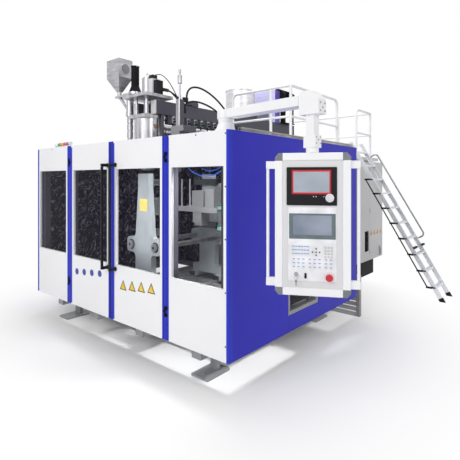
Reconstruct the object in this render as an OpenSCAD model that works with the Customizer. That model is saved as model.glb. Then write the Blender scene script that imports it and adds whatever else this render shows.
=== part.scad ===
// Single-station extrusion blow moulding machine for large jerrycans.
// Frame: X runs to the right along the glazed front, Y runs to the back, Z is up.
// The origin lies on the floor at the centre of the four anchor bolts.

/* [Enclosure] */
// Width of the clamp enclosure along the front
enc_w = 3560; // [3300:10:3800]
// Depth of the clamp enclosure
enc_d = 2660; // [2600:10:2800]
// Height of the panels
panel_h = 2000; // [1960:10:2060]
// Height of the panels' lower edge above the floor
base_h = 320; // [300:5:360]
// Thickness of the panels' sheet metal
sheet_t = 3; // [2:0.5:4]
// Depth of the folded edge of a panel
panel_depth = 30; // [25:1:40]
// Width of the corner profile seen from the front
corner_w = 28; // [26:1:36]
// Width of the corner profile seen from the side
corner_d = 52; // [44:1:60]
// Outer radius of the corner profile
corner_r = 22; // [12:1:25]
// Side of the square frame posts
post = 80; // [60:5:100]
// Thickness of the deck plates
deck_t = 6; // [5:1:8]

/* [Front doors] */
// Width of the fixed bay on the left
left_bay_w = 878; // [840:1:920]
// Width of the fixed bay on the right
right_bay_w = 817; // [780:1:860]
// Width of one blue edge profile
profile_w = 47; // [40:1:55]
// Depth of the blue edge profiles
profile_depth = 45; // [40:1:50]
// Gap between a door and its neighbour
door_gap = 4; // [3:0.5:6]
// Height of the window above the panel's lower edge
sill_h = 622; // [560:1:700]
// Height of the panel above the window
header_h = 312; // [250:1:360]
// White margin on the left of a window
margin_left = 50; // [35:1:70]
// White margin on the right of a window
margin_right = 32; // [28:1:60]
// Thickness of a window pane
pane_t = 6; // [4:1:10]
// Diameter of the door handles' bar
handle_d = 32; // [26:1:34]
// Distance from the door to the centre of the handle's bar
handle_reach = 75; // [60:1:95]
// Length of the door handles
handle_len = 1160; // [900:10:1200]
// Height of a handle's lower end above the panel's lower edge
handle_rise = 575; // [500:5:640]

/* [Clamp and shuttle] */
// Position of the clamp at the blow station, along the front
clamp_x = 235; // [200:5:260]
// Position of the parting plane, from the middle of the enclosure
part_y = -470; // [-490:5:-450]
// Distance from the die head to the blow station
shuttle_stroke = 640; // [600:5:660]
// Closing stroke of each platen
close_stroke = 250; // [200:5:260]
// Distance from the parting plane to an open mould face
half_daylight = 450; // [430:5:470]
// Thickness of a platen casting
platen_t = 75; // [60:1:85]
// Thickness of the mould mounting bars
mould_bar_t = 45; // [35:1:50]
// Length of the mould mounting bars
mould_bar_w = 400; // [380:5:440]
// Width of a platen column
column_w = 286; // [240:2:300]
// Width of a platen column at its top
column_top_w = 184; // [160:2:200]
// Height of a platen's top above the floor
platen_top = 1960; // [1920:5:1980]
// Height of the tie bars above the floor
tie_z = 1130; // [1100:5:1150]
// Distance between the two tie bars
tie_pitch = 434; // [420:2:450]
// Diameter of a tie bar
tie_d = 60; // [50:1:64]
// Diameter of the clamp cylinder's rod
rod_d = 100; // [80:1:110]
// Diameter of the clamp cylinder
cylinder_d = 170; // [150:1:190]
// Length of the clamp cylinder
cylinder_len = 550; // [540:5:570]

/* [Blow station] */
// Stroke of the blow pin
pin_stroke = 200; // [160:5:200]
// Diameter of the blow pin's rod
pin_rod_d = 32; // [28:1:36]
// Side of the square blow cylinder
blow_cylinder_w = 76; // [70:1:90]
// Height of the blow cylinder
blow_cylinder_h = 335; // [320:2:380]
// Diameter of the blow air hoses
hose_d = 24; // [18:1:28]
// Travel of the take-out carriage
takeout_stroke = 450; // [350:10:460]
// Length of the take-out beam
takeout_len = 640; // [600:5:650]

/* [Conveyor] */
// Width of the discharge opening
opening_w = 644; // [600:2:680]
// Height of the discharge opening
opening_h = 600; // [520:5:640]
// Height of the opening above the panel's lower edge
opening_rise = 166; // [150:1:190]
// Position of the opening's middle, from the middle of the enclosure
opening_y = -65; // [-80:1:-40]
// Diameter of the conveyor rollers
roller_d = 66; // [56:1:74]
// Length of the conveyor between its roller axles
conveyor_len = 1010; // [960:5:1020]
// Thickness of the conveyor belt
belt_t = 4; // [3:0.5:5]

/* [Extruder] */
// Position of the extruder's axis along the front
ext_x = -405; // [-420:5:-390]
// Height of the extruder's axis above the floor
ext_z = 2560; // [2550:5:2580]
// Diameter of the insulated barrel
barrel_d = 200; // [170:2:210]
// Height of the platform beams
beam_h = 180; // [150:2:200]
// Width of a platform beam
beam_w = 100; // [80:2:110]
// Height of the platform beams' underside above the extruder's axis
beam_rise = 200; // [190:5:215]
// Clear width between the platform beams
beam_gap = 282; // [270:2:300]
// Length of the platform beams
beam_len = 3420; // [3400:10:3450]
// Diameter of the main hopper
hopper_d = 500; // [440:5:520]
// Height of the main hopper's cylinder
hopper_h = 320; // [260:5:340]
// Diameter of the die head's shroud
head_d = 360; // [320:2:370]
// Height of the die head's shroud
head_h = 590; // [540:5:600]
// Side of the strip extruder's hopper
strip_hopper_w = 300; // [260:2:310]
// Depth of the strip extruder's hopper
strip_hopper_d = 230; // [200:2:250]
// Height of the strip extruder's hopper box
strip_hopper_h = 260; // [220:2:320]

/* [Control panel] */
// Distance from the arm's pivot to the panel's swivel
arm_len = 919; // [860:1:960]
// Width of the control panel's body
hmi_w = 536; // [500:2:560]
// Height of the control panel
hmi_h = 1030; // [980:5:1040]
// Depth of the control panel
hmi_d = 90; // [80:1:110]
// Width of the panel's frame profiles
hmi_frame = 56; // [48:1:62]
// Reach of the side handles
grip_reach = 67; // [56:1:75]
// Diameter of the emergency stop
estop_d = 52; // [44:1:58]
// Diameter of the jog knob
knob_d = 60; // [50:1:66]

/* [Platform] */
// Height of the handrails above the deck
rail_h = 910; // [880:10:1000]
// Diameter of the handrail tubes
rail_d = 42; // [38:1:48]
// Position of the deck's right edge
deck_x1 = 980; // [960:5:1000]
// Position of the deck's left edge
deck_x0 = -1300; // [-1400:10:-1250]
// Length of the rear platform behind the enclosure
rear_len = 2915; // [2860:5:2960]

/* [Ladder] */
// Horizontal run of the ladder
ladder_run = 1488; // [1440:4:1520]
// Vertical rise of the ladder
ladder_rise = 2549; // [2500:5:2600]
// Clear width of the ladder between its stiles
ladder_clear = 415; // [380:5:450]
// Thickness of a stile
stile_t = 25; // [20:1:30]
// Depth of a stile
stile_w = 65; // [55:1:75]
// Number of rungs
rungs = 10; // [8:1:11]

/* [Electrical cabinet] */
// Depth of the cabinet
cab_depth = 500; // [440:5:520]
// Width of the cabinet
cab_w = 1310; // [1250:5:1350]
// Width of the cabinet's door
cab_door_w = 690; // [640:5:720]
// Height of the cabinet
cab_h = 1976; // [1900:2:1980]
// Height of the cabinet's plinth
cab_z = 277; // [240:1:280]

/* [Hidden] */
$fn = 48;

// Clearance between pieces that touch
fit = 0.3;
// Radial clearance of a turning or sliding shaft
running = 0.1;

top_z = base_h + panel_h;
front_y = -enc_d/2;
back_y = enc_d/2;
right_x = enc_w/2;
left_x = -enc_w/2;
frame_top = top_z - deck_t - fit;

// Places along the facade
hinge_left = left_x + left_bay_w;
hinge_right = right_x - right_bay_w;
door_meet = (hinge_left + hinge_right)/2;
win_z0 = base_h + sill_h;
win_z1 = top_z - header_h;
rim = 14;
post_in = profile_depth + fit;
knuckle_r = 7;
hinge_y = front_y - knuckle_r;
hinge_pin_r = 4;
hinge_h = 100;
hinge_leaf = 32;
hinge_zs = [base_h + 280, top_z - 210];
hinge_lengths = [hinge_left, hinge_right];

// Base
base_top = base_h - fit;
base_beam = 120;
base_z = base_top - base_beam;
cross_x = 1300;
cross_inner_x = 430;
rail_y = 800;
base_reach = enc_d/2 - 90;
foot_t = 20;
foot_w = 220;
foot_len = 330;
foot_y = 1040;
anchor_y = 1110;
anchor_r = 11;
foot_post_d = 100;
slide_rail_w = 60;
slide_rail_h = 60;
slide_rail_over = 420;
rail_top = base_h + slide_rail_h;

// Shuttle drive cylinder
drive_z = 385;
drive_d = 90;
drive_rod_r = 22;
drive_front = clamp_x - shuttle_stroke - 385;
drive_back = drive_front - shuttle_stroke - 70;

// Carriage
guide_off = 220;
carriage_z0 = rail_top + 60;
carriage_z1 = carriage_z0 + 100;
guide_top = carriage_z1 + 40;
carriage_y0 = front_y + 210;
carriage_y1 = back_y - 150;
shoe_h = 60;
shoe_len = 200;

// Platens, as they stand when open
front_face = part_y - half_daylight;
front_back = front_face - mould_bar_t;
front_front = front_back - platen_t;
rear_face = part_y + half_daylight;
rear_back = rear_face + mould_bar_t + platen_t;
yoke_y = rear_back + 230;
yoke_t = 80;
cylinder_y = yoke_y + yoke_t + fit;
ram_z = 1560;
lug_w = 610;
lug_h = 180;
lug_r = 50;
mid_bar_z = [1486, 1688];
upper_bar_z = [1820, 1900];
mould_bolt_pitch_x = 320;
mould_bolt_r = 8.5;

// Top frame and blow station
top_beam_h = 100;
top_beam_w = 100;
front_beam_y = part_y - 330;
mid_beam_y = part_y + 245;
bearer_w = 60;
blow_bearer = 110;
strut_bearer = 220;
strut_y = part_y + 70;
strut_d = 44;
stand_foot_h = 16;
stand_w = 160;
blow_plate_z = top_z + 171;
blow_plate_h = 70;
blow_plate_w = 230;
blow_top = blow_plate_z + blow_plate_h + fit + blow_cylinder_h;
pin_tip_z = platen_top + 30;

// Die head and extruder
head_x = clamp_x - shuttle_stroke;
beam_z = ext_z + beam_rise;
head_top = beam_z - 50;
head_bottom = head_top - head_h;
beam_top = beam_z + beam_h;
beam_off = beam_gap/2 + beam_w/2;
beam_y0 = part_y - 50;
beam_y1 = beam_y0 + beam_len;
hopper_y = part_y + 2000;
hopper_z = beam_top + 150;
throat_w = 250;
throat_y0 = hopper_y - 170;
throat_y1 = hopper_y + 170;
gearbox_y0 = hopper_y + 270;
gearbox_len = 400;
guard_y0 = gearbox_y0 + gearbox_len + 20;
guard_d = 160;
guard_h = 590;
guard_z1 = beam_top + guard_h;
guard_left = 325;
guard_right = 255;
motor_d = 320;
motor_x = ext_x + 195;
motor_z = guard_z1 - 110;

// Control panel
arm_base_x = right_x - 130;
arm_base_y = front_y + 110;
arm_angle = -5.6;
arm_z0 = top_z + 110;
arm_h = 75;
arm_w = 120;
swivel_x = arm_base_x + arm_len*cos(arm_angle);
swivel_y = arm_base_y + arm_len*sin(arm_angle);
hmi_angle = 29;
hmi_top = 2083;
hmi_bottom = hmi_top - hmi_h;
plate_t = 6;
plate_in = 8;
plate_y = -hmi_d/2 + plate_in;
plate_w = hmi_w - 2*hmi_frame - 2*fit;
plate_z0 = hmi_bottom + hmi_frame + fit;
plate_z1 = hmi_top - hmi_frame - fit;
estop_at = [118, hmi_bottom + 138];
knob_at = [121, hmi_top - 324];
key_at = [-115, hmi_bottom + 155];

// Conveyor
opening_z0 = base_h + opening_rise;
opening_z1 = opening_z0 + opening_h;
lining = 40;
lining_x0 = right_x - 80;
lining_x1 = right_x - 8;
roller_z = opening_z0 + lining + 74;
roller_x1 = right_x - 64;
roller_x0 = roller_x1 - conveyor_len;
side_rail_t = 28;
side_rail_off = opening_w/2 - lining - 12;
belt_w = 2*(side_rail_off - side_rail_t) - 24;

// Platform and rear frame
deck_y0 = back_y - 400;
deck_y1 = back_y + rear_len;
walk_z = top_z;
mid_rail = rail_h - 440;
rail_x1 = deck_x1 - 30;
rail_y0 = deck_y0 + 60;
rail_y1 = deck_y1 - 60;
gate_y0 = back_y + 1120;
gate_w = 1050;
gate_y1 = gate_y0 + gate_w;
rail_x2 = rail_x1 - 110;
rail_bend = 90;
rear_post = 100;
rear_beam = 50;

// Ladder
ladder_off = 490;
ladder_y0 = gate_y0 + ladder_off;
ladder_w = ladder_clear + 2*stile_t;
ladder_top_x = deck_x1 - 7;
ladder_foot_x = ladder_top_x + ladder_run;
ladder_angle = atan2(ladder_rise, ladder_run);
ladder_len = sqrt(ladder_rise*ladder_rise + ladder_run*ladder_run);
rung_first = 232;
rung_step = (ladder_len - rung_first - 195)/(rungs - 1);

// Electrical cabinet
cab_y0 = back_y + 2150;
cab_y1 = cab_y0 + cab_w;
cab_x1 = deck_x1 - 110;
cab_x0 = cab_x1 - cab_depth;
cab_z1 = cab_z + cab_h;
cab_wall = 4;
cab_hinge_x = cab_x1 + 7;
cab_hinge_y = cab_y1 - cab_door_w - 6;
plinth_y1 = cab_y0 + 796;
vent_y = [cab_y0 + 359, cab_y0 + 562];
vent_z = [cab_z + 191, cab_z + 592];
skirt_x0 = right_x - 467;
skirt_x1 = right_x - 23;
skirt_y = back_y + 133;
skirt_h = 565;

blue = [0.19, 0.19, 0.62];
off_white = [0.94, 0.94, 0.95];
light_grey = [0.78, 0.78, 0.79];
mid_grey = [0.5, 0.5, 0.52];
dark_grey = [0.27, 0.26, 0.29];
near_black = [0.08, 0.08, 0.09];
steel = [0.7, 0.71, 0.72];
glass_tint = [0.35, 0.36, 0.42, 0.5];

// Shared shapes

// Box between its lowest and highest corners
module block(lo, hi) {
    translate(lo) cube(hi - lo);
}

// Round bar that starts at a point and runs along X
module rod_x(p, len, d) {
    translate(p) rotate([0, 90, 0]) cylinder(h = len, d = d);
}

// Round bar that starts at a point and runs along Y
module rod_y(p, len, d) {
    translate(p) rotate([-90, 0, 0]) cylinder(h = len, d = d);
}

// Round bar that starts at a point and runs along Z
module rod_z(p, len, d) {
    translate(p) cylinder(h = len, d = d);
}

// Rectangle with round corners about the origin
module rounded_rect(w, h, r) {
    square([w - 2*r, h], center = true);
    square([w, h - 2*r], center = true);
    for (sx = [-1, 1], sy = [-1, 1]) {
        translate([sx*(w/2 - r), sy*(h/2 - r)]) circle(r);
    }
}

// Concave fillet that fills the corner between the +X and +Y axes
module inner_fillet(r) {
    difference() {
        square(r);
        translate([r, r]) circle(r);
    }
}

// Folded sheet-metal panel that faces -Y, with an optional window
module front_tray(x0, x1, z0, z1, window = []) {
    y1 = front_y + panel_depth;
    difference() {
        block([x0, front_y, z0], [x1, y1, z1]);
        difference() {
            block([x0 + sheet_t, front_y + sheet_t, z0 + sheet_t],
                [x1 - sheet_t, y1 + 1, z1 - sheet_t]);
            if (len(window) > 0) {
                block([window[0] - rim, front_y, window[2] - rim],
                    [window[1] + rim, y1 + 2, window[3] + rim]);
            }
        }
        if (len(window) > 0) {
            block([window[0], front_y - 1, window[2]], [window[1], y1 + 1, window[3]]);
        }
    }
}

// Window pane that sits in the rim of a front panel
module front_pane(window) {
    pane_y = front_y + 10;
    block([window[0] + fit, pane_y, window[2] + fit],
        [window[1] - fit, pane_y + pane_t, window[3] - fit]);
}

// Upright edge profile with a shallow groove down its face
module edge_profile(x0) {
    groove = 12;
    groove_depth = 5;
    translate([x0, front_y, base_h]) linear_extrude(panel_h) difference() {
        square([profile_w, profile_depth]);
        translate([(profile_w - groove)/2, -1]) square([groove, groove_depth + 1]);
    }
}

// Sections of the facade
left_panel_x = [left_x + corner_w + fit, hinge_left - door_gap/2 - profile_w - fit];
right_panel_x = [hinge_right + door_gap/2 + profile_w + fit, right_x - corner_w - fit];
left_door_x = [hinge_left + door_gap/2, door_meet - door_gap/2];
right_door_x = [door_meet + door_gap/2, hinge_right - door_gap/2];
fixed_margin = 38;
left_window = [left_panel_x[0] + fixed_margin, left_panel_x[1] - margin_right, win_z0, win_z1];
right_window = [right_panel_x[0] + fixed_margin, right_panel_x[1] - margin_right, win_z0, win_z1];
left_door_window_at = [left_door_x[0] + profile_w + margin_left,
    left_door_x[1] - profile_w - margin_right, win_z0, win_z1];
right_door_window_at = [right_door_x[0] + profile_w + margin_left,
    right_door_x[1] - profile_w - margin_right, win_z0, win_z1];

// Base

module base_frame() {
    color(dark_grey) {
        for (x = [-cross_x, -cross_inner_x, cross_inner_x, cross_x]) {
            block([x - base_beam/2, -base_reach, base_z], [x + base_beam/2, base_reach, base_top]);
        }
        for (y = [-rail_y, rail_y], span = [[-cross_x, -cross_inner_x],
            [-cross_inner_x, cross_inner_x], [cross_inner_x, cross_x]]) {
            block([span[0] + base_beam/2 + fit, y - base_beam/2, base_z],
                [span[1] - base_beam/2 - fit, y + base_beam/2, base_top]);
        }
        block([-cross_x + base_beam/2 + fit, -base_beam/2, base_top - base_beam/2],
            [-cross_inner_x - base_beam/2 - fit, base_beam/2, base_top]);
    }
    color(steel) {
        for (y = [-rail_y, rail_y]) {
            block([head_x - slide_rail_over, y - slide_rail_w/2, base_h],
                [clamp_x + slide_rail_over, y + slide_rail_w/2, rail_top]);
        }
    }
    color(mid_grey) shuttle_cylinder();
}

module shuttle_cylinder() {
    saddle_w = 60;
    difference() {
        rod_x([drive_back, 0, drive_z], drive_front - drive_back, drive_d);
        rod_x([drive_back + 15, 0, drive_z], drive_front - drive_back, 2*(drive_rod_r + running));
    }
    for (x = [-cross_x, drive_front - saddle_w]) {
        saddle_top = drive_z - drive_d/2 - fit;
        block([x - saddle_w/2, -saddle_w, base_h], [x + saddle_w/2, saddle_w, saddle_top]);
    }
}

module foot_plates() {
    color(mid_grey) for (sx = [-1, 1], sy = [-1, 1]) {
        difference() {
            translate([sx*cross_x, sy*foot_y, 0]) linear_extrude(foot_t)
                rounded_rect(foot_w, foot_len, 12);
            rod_z([sx*cross_x, sy*(anchor_y), -1], foot_t + 2, 2*anchor_r);
        }
        rod_z([sx*cross_x, sy*(foot_y - 70), foot_t + fit], base_z - foot_t - 2*fit, foot_post_d);
    }
}

// Enclosure

module enclosure_frame() {
    x1 = right_x - post_in;
    x0 = x1 - post;
    y1 = back_y - post_in;
    y0 = y1 - post;
    rail_z = frame_top - post;
    color(dark_grey) {
        for (sx = [-1, 1], sy = [-1, 1]) {
            translate([sx*(x0 + x1)/2, sy*(y0 + y1)/2, base_h])
                linear_extrude(frame_top - base_h) square(post, center = true);
        }
        for (s = [-1, 1], z = [base_h, rail_z]) {
            translate([0, s*(y0 + y1)/2, z + post/2])
                cube([2*(x0 - fit), post, post], center = true);
            translate([s*(x0 + x1)/2, 0, z + post/2])
                cube([post, 2*(y0 - fit), post], center = true);
        }
        for (x = [hinge_left - door_gap/2 - profile_w, hinge_right + door_gap/2]) {
            block([x, front_y + post_in, base_h + post + fit],
                [x + profile_w, front_y + post_in + post, rail_z - fit]);
        }
    }
}

// Beams in the roof that carry the blow station and the front of the extruder
module top_frame() {
    z0 = frame_top - top_beam_h;
    x1 = right_x - post_in - post - fit;
    color(dark_grey) {
        for (y = [front_beam_y, mid_beam_y]) {
            block([-x1, y - top_beam_w/2, z0], [x1, y + top_beam_w/2, frame_top]);
        }
        for (s = [-1, 1], x = [clamp_x + s*blow_bearer, ext_x + s*strut_bearer]) {
            block([x - bearer_w/2, front_beam_y + top_beam_w/2 + fit, z0],
                [x + bearer_w/2, mid_beam_y - top_beam_w/2 - fit, frame_top]);
        }
        for (s = [-1, 1]) {
            rod_z([ext_x + s*strut_bearer, strut_y, frame_top + fit], beam_z - frame_top - 2*fit, strut_d);
        }
    }
    color(light_grey) takeout_track();
}

// Overhead beam that the take-out carriage runs along
track_y = part_y + 240;
track_z = top_z - 160;
module takeout_track() {
    x0 = clamp_x + 290;
    x1 = right_x - post_in - post - fit;
    block([x0, track_y - 30, track_z], [x1, track_y + 30, track_z + 70]);
    for (x = [x0 + 40, x1 - 60]) {
        block([x - 30, track_y - 30, track_z + 70 + fit], [x + 30, track_y + 30, top_z - deck_t - 2*fit]);
    }
}

module edge_profiles() {
    color(blue) {
        edge_profile(hinge_left - door_gap/2 - profile_w);
        edge_profile(hinge_right + door_gap/2);
        for (sx = [0, 1], sy = [0, 1]) {
            mirror([sx, 0, 0]) mirror([0, sy, 0]) corner_profile();
        }
    }
}

// Round-nosed corner profile at the front right
module corner_profile() {
    translate([right_x, front_y, base_h]) linear_extrude(panel_h) difference() {
        translate([-corner_w, 0]) square([corner_w, corner_d]);
        translate([-corner_r, 0]) difference() {
            translate([0, -1]) square([corner_r + 1, corner_r + 1]);
            translate([0, corner_r]) circle(corner_r);
        }
    }
}

// Fixed hinge knuckles, their leaves and pins
module door_hinges() {
    color(near_black) for (z = hinge_zs, side = [-1, 1]) {
        x = side < 0 ? hinge_left : hinge_right;
        for (end = [0, 1]) {
            z0 = z - hinge_h/2 + end*2*hinge_h/3;
            difference() {
                union() {
                    rod_z([x, hinge_y, z0], hinge_h/3, 2*knuckle_r);
                    block([min(x, x + side*hinge_leaf), front_y - sheet_t, z0],
                        [max(x, x + side*hinge_leaf), front_y - fit/3, z0 + hinge_h/3]);
                }
                rod_z([x, hinge_y, z0 - 1], hinge_h/3 + 2, 2*hinge_pin_r + fit);
            }
        }
        rod_z([x, hinge_y, z - hinge_h/2 - 2], hinge_h + 4, 2*hinge_pin_r);
    }
}

// Moving hinge knuckles of one door; side is 1 where the door lies at +X of its hinge
module door_knuckles(x, side) {
    for (z = hinge_zs) {
        z0 = z - hinge_h/6 + 1;
        h = hinge_h/3 - 2;
        difference() {
            union() {
                rod_z([x, hinge_y, z0], h, 2*knuckle_r);
                block([min(x, x + side*hinge_leaf), front_y - sheet_t, z0],
                    [max(x, x + side*hinge_leaf), front_y - fit/3, z0 + h]);
            }
            rod_z([x, hinge_y, z0 - 1], h + 2, 2*(hinge_pin_r + running));
        }
    }
}

module left_panel() {
    color(off_white) front_tray(left_panel_x[0], left_panel_x[1], base_h, top_z, left_window);
}

module right_panel() {
    color(off_white) front_tray(right_panel_x[0], right_panel_x[1], base_h, top_z, right_window);
}

module fixed_windows() {
    color(glass_tint) {
        front_pane(left_window);
        front_pane(right_window);
    }
}

// One front door: two edge profiles, the white panel between them and the moving knuckles
module door_leaf(span, window) {
    color(blue) {
        edge_profile(span[0]);
        edge_profile(span[1] - profile_w);
    }
    color(off_white) front_tray(span[0] + profile_w + fit, span[1] - profile_w - fit, base_h, top_z, window);
}

module left_door() {
    door_leaf(left_door_x, left_door_window_at);
    color(near_black) door_knuckles(hinge_left, 1);
}

module right_door() {
    door_leaf(right_door_x, right_door_window_at);
    color(near_black) door_knuckles(hinge_right, -1);
}

module left_door_window() {
    color(glass_tint) front_pane(left_door_window_at);
}

module right_door_window() {
    color(glass_tint) front_pane(right_door_window_at);
}

// Long pull handle: a bar between two elbow legs
module pull_handle(x) {
    leg_d = 36;
    z0 = base_h + handle_rise;
    z1 = z0 + handle_len;
    for (z = [z0, z1]) {
        rod_y([x, front_y - handle_reach, z], handle_reach - fit, leg_d);
        translate([x, front_y - handle_reach, z]) sphere(d = leg_d);
        rod_y([x, front_y - 6, z], 6 - fit, leg_d + 14);
    }
    rod_z([x, front_y - handle_reach, z0 + leg_d/2 + fit], handle_len - leg_d - 2*fit, handle_d);
}

handle_edge = 62;
module left_door_handle() {
    color(near_black) pull_handle(left_door_x[1] - handle_edge);
}

module right_door_handle() {
    color(near_black) pull_handle(right_door_x[0] + profile_w + margin_left*0.8);
}

// Blue side wall with a notch for the discharge opening, closed below by a sill strip
module side_panel_right() {
    y0 = front_y + corner_d + fit;
    y1 = back_y - corner_d - fit;
    o0 = opening_y - opening_w/2;
    o1 = opening_y + opening_w/2;
    x0 = right_x - panel_depth;
    color(blue) {
        difference() {
            block([x0, y0, base_h], [right_x, y1, top_z]);
            difference() {
                block([x0 - 1, y0 + sheet_t, base_h + sheet_t], [right_x - sheet_t, y1 - sheet_t, top_z - sheet_t]);
                block([x0 - 2, o0 - sheet_t, base_h], [right_x, o1 + sheet_t, opening_z1 + sheet_t]);
            }
            block([x0 - 3, o0, base_h - 1], [right_x + 1, o1, opening_z1]);
        }
        difference() {
            block([x0, o0 + 1, base_h], [right_x, o1 - 1, opening_z0]);
            block([x0 - 1, o0 + 1 + sheet_t, base_h + sheet_t],
                [right_x - sheet_t, o1 - 1 - sheet_t, opening_z0 - sheet_t]);
        }
    }
}

// Grey lining of the discharge opening with the conveyor's side rails and legs
module discharge_frame() {
    o0 = opening_y - opening_w/2 + fit;
    o1 = opening_y + opening_w/2 - fit;
    z0 = opening_z0 + fit;
    z1 = opening_z1 - fit;
    color(mid_grey) {
        block([lining_x0, o0, z0], [lining_x1, o1, z0 + lining]);
        block([lining_x0, o0, z1 - lining], [lining_x1, o1, z1]);
        block([lining_x0, o0, z0 + lining + fit], [lining_x1, o0 + lining, z1 - lining - fit]);
        block([lining_x0, o1 - lining, z0 + lining + fit], [lining_x1, o1, z1 - lining - fit]);
    }
    color(light_grey) for (s = [-1, 1]) conveyor_side(s);
}

// One side rail of the conveyor, with bored axle plates and a leg
module conveyor_side(s) {
    yc = opening_y + s*(side_rail_off - side_rail_t/2);
    rail_h2 = 64;
    difference() {
        block([roller_x0 - 40, yc - side_rail_t/2, roller_z - rail_h2/2],
            [roller_x1 + 34, yc + side_rail_t/2, roller_z + rail_h2/2]);
        for (x = [roller_x0, roller_x1]) {
            rod_y([x, yc - side_rail_t, roller_z], 2*side_rail_t, 2*(axle_r + running));
        }
    }
    for (leg = [[cross_x, base_h], [lining_x0 - 22, base_h + post + fit]]) {
        block([leg[0] - 20, yc - side_rail_t/2, leg[1]], [leg[0] + 20, yc + side_rail_t/2, roller_z - rail_h2/2 - fit]);
    }
}
axle_r = 10;

// Roller with its axle journals
module roller(x) {
    rod_y([x, opening_y - belt_w/2, roller_z], belt_w, roller_d);
    rod_y([x, opening_y - side_rail_off - 4, roller_z], 2*side_rail_off + 8, 2*axle_r);
}

module drive_roller() {
    color(steel) roller(roller_x1);
}

module idler_roller() {
    color(steel) roller(roller_x0);
}

module belt_outline(r) {
    for (x = [roller_x0, roller_x1]) translate([x, roller_z]) circle(r);
    translate([roller_x0, roller_z - r]) square([conveyor_len, 2*r]);
}

module conveyor_belt() {
    inner = roller_d/2 + fit;
    color(near_black) translate([0, opening_y + belt_w/2, 0]) rotate([90, 0, 0])
        linear_extrude(belt_w) difference() {
            belt_outline(inner + belt_t);
            belt_outline(inner);
        }
}

module side_panel_left() {
    y0 = front_y + corner_d + fit;
    y1 = back_y - corner_d - fit;
    color(blue) difference() {
        block([left_x, y0, base_h], [left_x + panel_depth, y1, top_z]);
        block([left_x + sheet_t, y0 + sheet_t, base_h + sheet_t],
            [left_x + panel_depth + 1, y1 - sheet_t, top_z - sheet_t]);
    }
}

module rear_panel() {
    x0 = left_x + corner_w + fit;
    x1 = right_x - corner_w - fit;
    color(off_white) difference() {
        block([x0, back_y - panel_depth, base_h], [x1, back_y, frame_top]);
        block([x0 + sheet_t, back_y - panel_depth - 1, base_h + sheet_t],
            [x1 - sheet_t, back_y - sheet_t, frame_top - sheet_t]);
    }
}

// Deck plates on the roof, open over the die head and the blow station
module roof_deck() {
    x0 = left_x + post_in;
    x1 = right_x - post_in;
    y0 = front_y + post_in;
    open_x0 = head_x - 700;
    open_x1 = clamp_x + 365;
    open_y1 = deck_y0 - 100;
    color(light_grey) translate([0, 0, top_z - deck_t]) {
        linear_extrude(deck_t) difference() {
            translate([x0, y0]) square([x1 - x0, back_y - y0]);
            translate([open_x0, front_y + 250]) square([open_x1 - open_x0, open_y1 - front_y - 250]);
            translate([deck_x0 - fit, deck_y0 - fit]) square([deck_x1 - deck_x0 + 2*fit, rear_len]);
        }
    }
}

// Lying signal lamp: a base, a tube of coloured lenses and two end caps
lamp_x = [left_x + 411, left_x + 807];
module signal_lamp() {
    lamp_d = 46;
    lamp_z = top_z + 18 + lamp_d/2;
    lamp_y = front_y + 60;
    lens = (lamp_x[1] - lamp_x[0] - 30)/5;
    color(off_white) block([lamp_x[0], lamp_y - 16, top_z + fit], [lamp_x[1], lamp_y + 16, top_z + 18]);
    for (i = [0:4]) {
        color([off_white, [0.1, 0.7, 0.45], [1, 0.6, 0.1], [0.95, 0.1, 0.25], mid_grey][i])
            rod_x([lamp_x[0] + 15 + i*lens + fit, lamp_y, lamp_z], lens - fit, lamp_d);
    }
    color(mid_grey) for (x = [lamp_x[0], lamp_x[1] - 15]) {
        rod_x([x + fit, lamp_y, lamp_z], 15 - fit, lamp_d + 4);
    }
}

// Slotted wiring duct along the right edge of the roof
module cable_tray() {
    duct_w = 44;
    duct_h = 42;
    wall = 3;
    slot = 14;
    step = 28;
    y0 = arm_base_y + 110;
    y1 = back_y - 60;
    x0 = right_x - 36 - duct_w;
    color([0.8, 0.79, 0.72]) difference() {
        block([x0, y0, top_z + fit], [x0 + duct_w, y1, top_z + fit + duct_h]);
        block([x0 + wall, y0 - 1, top_z + fit + wall], [x0 + duct_w - wall, y1 + 1, top_z + fit + duct_h - wall]);
        for (y = [y0 + slot : step : y1 - 2*slot]) {
            block([x0 - 1, y, top_z + fit + wall + 8], [x0 + duct_w + 1, y + slot, top_z + fit + duct_h - wall - 4]);
        }
    }
}

// Rear frame and platform

module rear_frame() {
    x0 = deck_x0 + rear_post/2 + 20;
    x1 = deck_x1 - rear_post/2;
    near = back_y + rear_post/2 + fit;
    far = deck_y1 - rear_post/2;
    posts = [[x0, near], [x0, (near + far)/2], [x0, far], [x1, near], [x1, near + 970],
        [x1, near + 1710], [cab_x0 - rear_post/2 - 10, far]];
    beam_bottom = frame_top - rear_beam;
    color(dark_grey) {
        for (p = posts) {
            translate([p[0], p[1], 0]) linear_extrude(15) square([rear_post, 2*rear_post], center = true);
            translate([p[0], p[1], 15 + fit]) linear_extrude(beam_bottom - 15 - 2*fit) square(rear_post, center = true);
        }
        for (x = [x0, x1]) {
            block([x - rear_post/2, back_y + fit, beam_bottom], [x + rear_post/2, deck_y1, frame_top]);
        }
        for (y = [near, near + 970, near + 1710, far]) {
            block([x0 + rear_post/2 + fit, y - rear_post/2, beam_bottom],
                [x1 - rear_post/2 - fit, y + rear_post/2, frame_top]);
        }
    }
}

module platform_deck() {
    color(light_grey) block([deck_x0, deck_y0, top_z - deck_t], [deck_x1, deck_y1, top_z]);
}

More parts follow.
